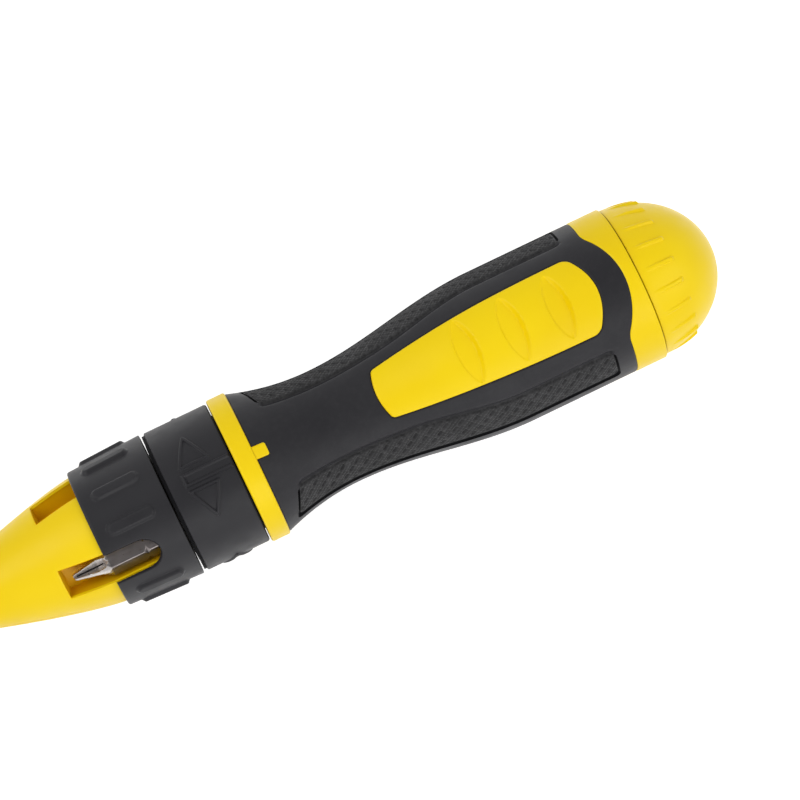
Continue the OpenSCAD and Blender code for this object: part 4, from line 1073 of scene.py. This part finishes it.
def thread_radius(x, p):
    turn = ((x - SEAM_X) / THREAD_LEAD - wrap(p) / (2 * np.pi)) * THREAD_STARTS % 1.0
    ridge = smooth((0.24 - np.abs(turn - 0.5)) / 0.12)
    ends = smooth((x - THREAD_X0) / 0.8) * smooth((THREAD_X1 - x) / 0.8)
    return NECK_R + THREAD_HEIGHT * ridge * ends


def make_core():
    skin = Skin()
    skin.grid(stations(RING_X0, RING_X1, 0.3, 0.5), 420, ring_radius, skirt=inward(0.6))
    xs = np.concatenate([[RING_X1], np.arange(RING_X1 + 0.2, RING_X1 + 3.6, 0.2)])
    skin.grid(xs, 640, tab_radius, (tab_distance,), lambda side: side[0] < 0, inward(1.2))
    xs = np.arange(PANEL_X0 - 0.3, PANEL_X1 + 0.4, 0.2)
    for middle in (0.0, np.pi):
        skin.grid(xs, 150, panel_radius, (panel_distance,), lambda side: side[0] < 0, inward(1.2),
                  span=(middle - PANEL_SPAN, middle + PANEL_SPAN))
    edge = SEAM_X - 0.3 * (1 - np.sin(np.linspace(0, np.pi / 2, 6)))
    xs = np.unique(np.concatenate([np.arange(RUBBER_X1 - 0.4, SEAM_X - 0.31, 0.2), edge]))
    skin.grid(xs, 640, rear_radius, (rear_distance,), lambda side: side[0] > 0, inward(1.0))
    skin.grid(np.linspace(THREAD_X0, THREAD_X1, 90), 220, thread_radius)

    def drop(centre, normal, corners):
        x = corners[..., 0]
        least = corner_radii(corners).min(1)
        out = faces_out(centre, normal, 0.3) & (np.abs(normal[:, 0]) < 0.9)
        body = (least > 12.5) & (x.max(1) < SEAM_X + 0.01) & out
        walls = (x.min(1) > RING_X1 + 0.01) & (x.max(1) < SEAM_X - 0.01) & (least > 13.65)
        return body | walls

    skin.from_node("handle_core", drop)
    skin.build("core_skin", ["core_plastic"], "handle", "handle_core", 42.0)


# Cap

CAP_RIBS = 20
CAP_RIB_ROLL = 3.5
CAP_RIB_START = 1.3
CAP_RIB_LEN = 7.8
CAP_RIB_HEIGHT = 0.62
CAP_RIB_END = 9.25
CAP_TURNS = 900
# Angles on the dome: where the stations open out, and where the fan at the top begins
DOME_FINE = 0.62
DOME_TOP = 1.555


def cap_radius(x, p):
    """The dome with a shallow bed, on which the ribs rise like wedges towards the rear."""
    dome = dome_r(x)
    _, turn = nearest(wrap(p - math.radians(CAP_RIB_ROLL)), CAP_RIBS)
    along = (x - CAP_X0 - CAP_RIB_START) / CAP_RIB_LEN
    bed = dome - 0.1 * smooth(along / 0.3) * (1 - smooth((along - 0.5) / 0.6))
    top = dome + CAP_RIB_HEIGHT * np.clip(along, 0.0, 1.0)
    body = smooth((0.62 - np.abs(dome * np.sin(turn))) / 0.36) * smooth((CAP_X0 + CAP_RIB_END - x) / 0.3)
    return bed + (top - bed) * body - round_end(x - CAP_X0, 0.14)


def make_cap():
    skin = Skin()
    angles = np.concatenate([np.linspace(0.0, DOME_FINE, 64, endpoint=False),
                             np.linspace(DOME_FINE, DOME_TOP, 44)])
    xs = CAP_X0 + DOME_LEN * np.sin(angles)
    skin.grid(xs, CAP_TURNS, cap_radius)

    # A fan of faces closes the dome's top
    rolls = np.arange(CAP_TURNS) * 2 * np.pi / CAP_TURNS
    end = np.full(CAP_TURNS, xs[-1])
    rim = on_roll(end, rolls, cap_radius(end, np.full(CAP_TURNS, 0.2)))
    base = skin.add_points(np.concatenate([rim, [[CAP_X0 + DOME_LEN, 0.0, 0.0]]]))
    j = np.arange(CAP_TURNS)
    skin.add_faces(np.stack([j, (j + 1) % CAP_TURNS, np.full(CAP_TURNS, CAP_TURNS)], -1), 0, base)

    def drop(centre, normal, corners):
        x = corners[..., 0]
        outer = (corner_radii(corners) - dome_r(x)).min(1) > -0.25
        return outer & (x.max(1) > CAP_X0 + 0.01)

    skin.from_node("end_cap", drop)
    skin.build("cap_skin", ["cap_plastic"], "cap", "end_cap", 50.0)


# Cross bits

BIT_LEN = 25.0
BIT_TURNS = 288
BIT_HALF_FLAT = 3.175
BIT_EDGE_R = 3.61
NOTCH_S = 18.3
# Pairs of a distance from the bit's tip and a radius: the tip's outline and the flutes' floor
TIP_LINE = ((0.0, 0.7), (0.3, 0.98), (7.6, 2.95), (9.3, 3.67), (25.0, 3.67))
FLUTE_LINE = ((0.0, 0.35), (6.2, 0.8), (7.8, 1.6), (9.3, 3.7), (9.5, 9.0), (25.0, 9.0))
FLUTE_FLANK = math.radians(46.0)
WING_TURN = math.radians(14.0)


def flute_offset(turn):
    """Turn from the middle of the nearest of the four flutes."""
    return (turn - WING_TURN) % (np.pi / 2) - np.pi / 4


def cross_bit_radius(s, turn):
    """Radius of a cross bit at a distance from its tip and a turn round its own axis."""
    flat = turn % (np.pi / 3) - np.pi / 6
    body = np.minimum(BIT_HALF_FLAT / np.cos(flat), BIT_EDGE_R)
    tip = np.interp(s, *zip(*TIP_LINE))
    notch = BIT_HALF_FLAT + 0.55 * np.abs(s - NOTCH_S) / 0.9
    rear = 3.1 + (BIT_LEN - s)
    off = flute_offset(turn)
    open_by = np.cos(off) - np.abs(np.sin(off)) / math.tan(FLUTE_FLANK)
    flute = np.where(open_by > 0.02, np.interp(s, *zip(*FLUTE_LINE)) / np.maximum(open_by, 0.02), 9.0)
    return np.minimum.reduce([body, tip, notch, rear, flute])


def make_bit(name, node, body, roll, rear, height):
    """A cross bit whose rear face is at a station, at a height over the tool's axis."""
    skin = Skin()
    s = np.concatenate([[0.0, 0.12, 0.25], np.arange(0.36, 9.6, 0.11), np.arange(9.8, 17.2, 0.5),
                        np.arange(17.3, 19.4, 0.1), np.arange(19.8, 24.6, 0.6), [24.7, 24.85, BIT_LEN]])
    s, turn = np.meshgrid(s, np.arange(BIT_TURNS) * 2 * np.pi / BIT_TURNS, indexing="ij")
    r = cross_bit_radius(s, turn)
    front_x = rear - BIT_LEN
    local = np.concatenate([on_roll(front_x + s, turn, r), [[front_x, 0.0, 0.0], [rear, 0.0, 0.0]]])
    y = local[:, 1]
    z = local[:, 2] + height
    a = math.radians(roll)
    base = skin.add_points(np.stack([local[:, 0], y * math.cos(a) - z * math.sin(a),
                                     y * math.sin(a) + z * math.cos(a)], -1))

    quads = quads_round(len(s), BIT_TURNS)
    at = s.reshape(-1)[quads].mean(1)
    middle = flute_offset(turn.reshape(-1)[quads[:, 0]] + np.pi / BIT_TURNS)
    # Painted shade: a narrow strip along each flute's valley on the tip gets dark steel, slot 2
    valley = np.abs(r.reshape(-1)[quads[:, 0]] * np.sin(middle)) < 0.17
    kind = np.where(at > 9.0, 0, np.where(valley & (at > 0.8) & (at < 7.6), 2, 1))
    j = np.arange(BIT_TURNS)
    after = (j + 1) % BIT_TURNS
    last = s.size - BIT_TURNS
    skin.add_faces(quads[kind == 0], 0, base)
    skin.add_faces(np.stack([j + last, after + last, np.full(BIT_TURNS, s.size + 1)], -1), 0, base)
    skin.add_faces(quads[kind == 1], 1, base)
    skin.add_faces(quads[kind == 2], 2, base)
    skin.add_faces(np.stack([after, j, np.full(BIT_TURNS, s.size)], -1), 1, base)
    skin.build(name, ["bit_steel", "bit_tip_steel", "bit_flute_steel"], body, node, 26.0)


bpy.context.scene.view_settings.view_transform = "Standard"
make_camera()
make_world()
make_floor()
lamp("key", (0.12, -0.95, 0.75), (0.13, 0.0, 0.0), 0.9, 3.7)
lamp("fill", (-0.55, 0.35, 0.9), (0.10, 0.0, 0.0), 0.8, 3.6)
lamp("rim", (0.75, -0.35, 0.55), (0.16, 0.0, 0.0), 0.6, 1.2)
dress_nodes()
make_nose(1, "nose_shell_upper")
make_nose(-1, "nose_shell_lower")
make_collar()
make_selector()
make_grip()
make_core()
make_cap()
make_bit("nose_bit_skin", "nose_bit_cross", "spindle", NOSE_ROLL + SLOT_ANGLE, 77.45, 12.3)
make_bit("chuck_bit_skin", "chuck_bit", "loaded_bit", 0.0, 9.8, 0.0)
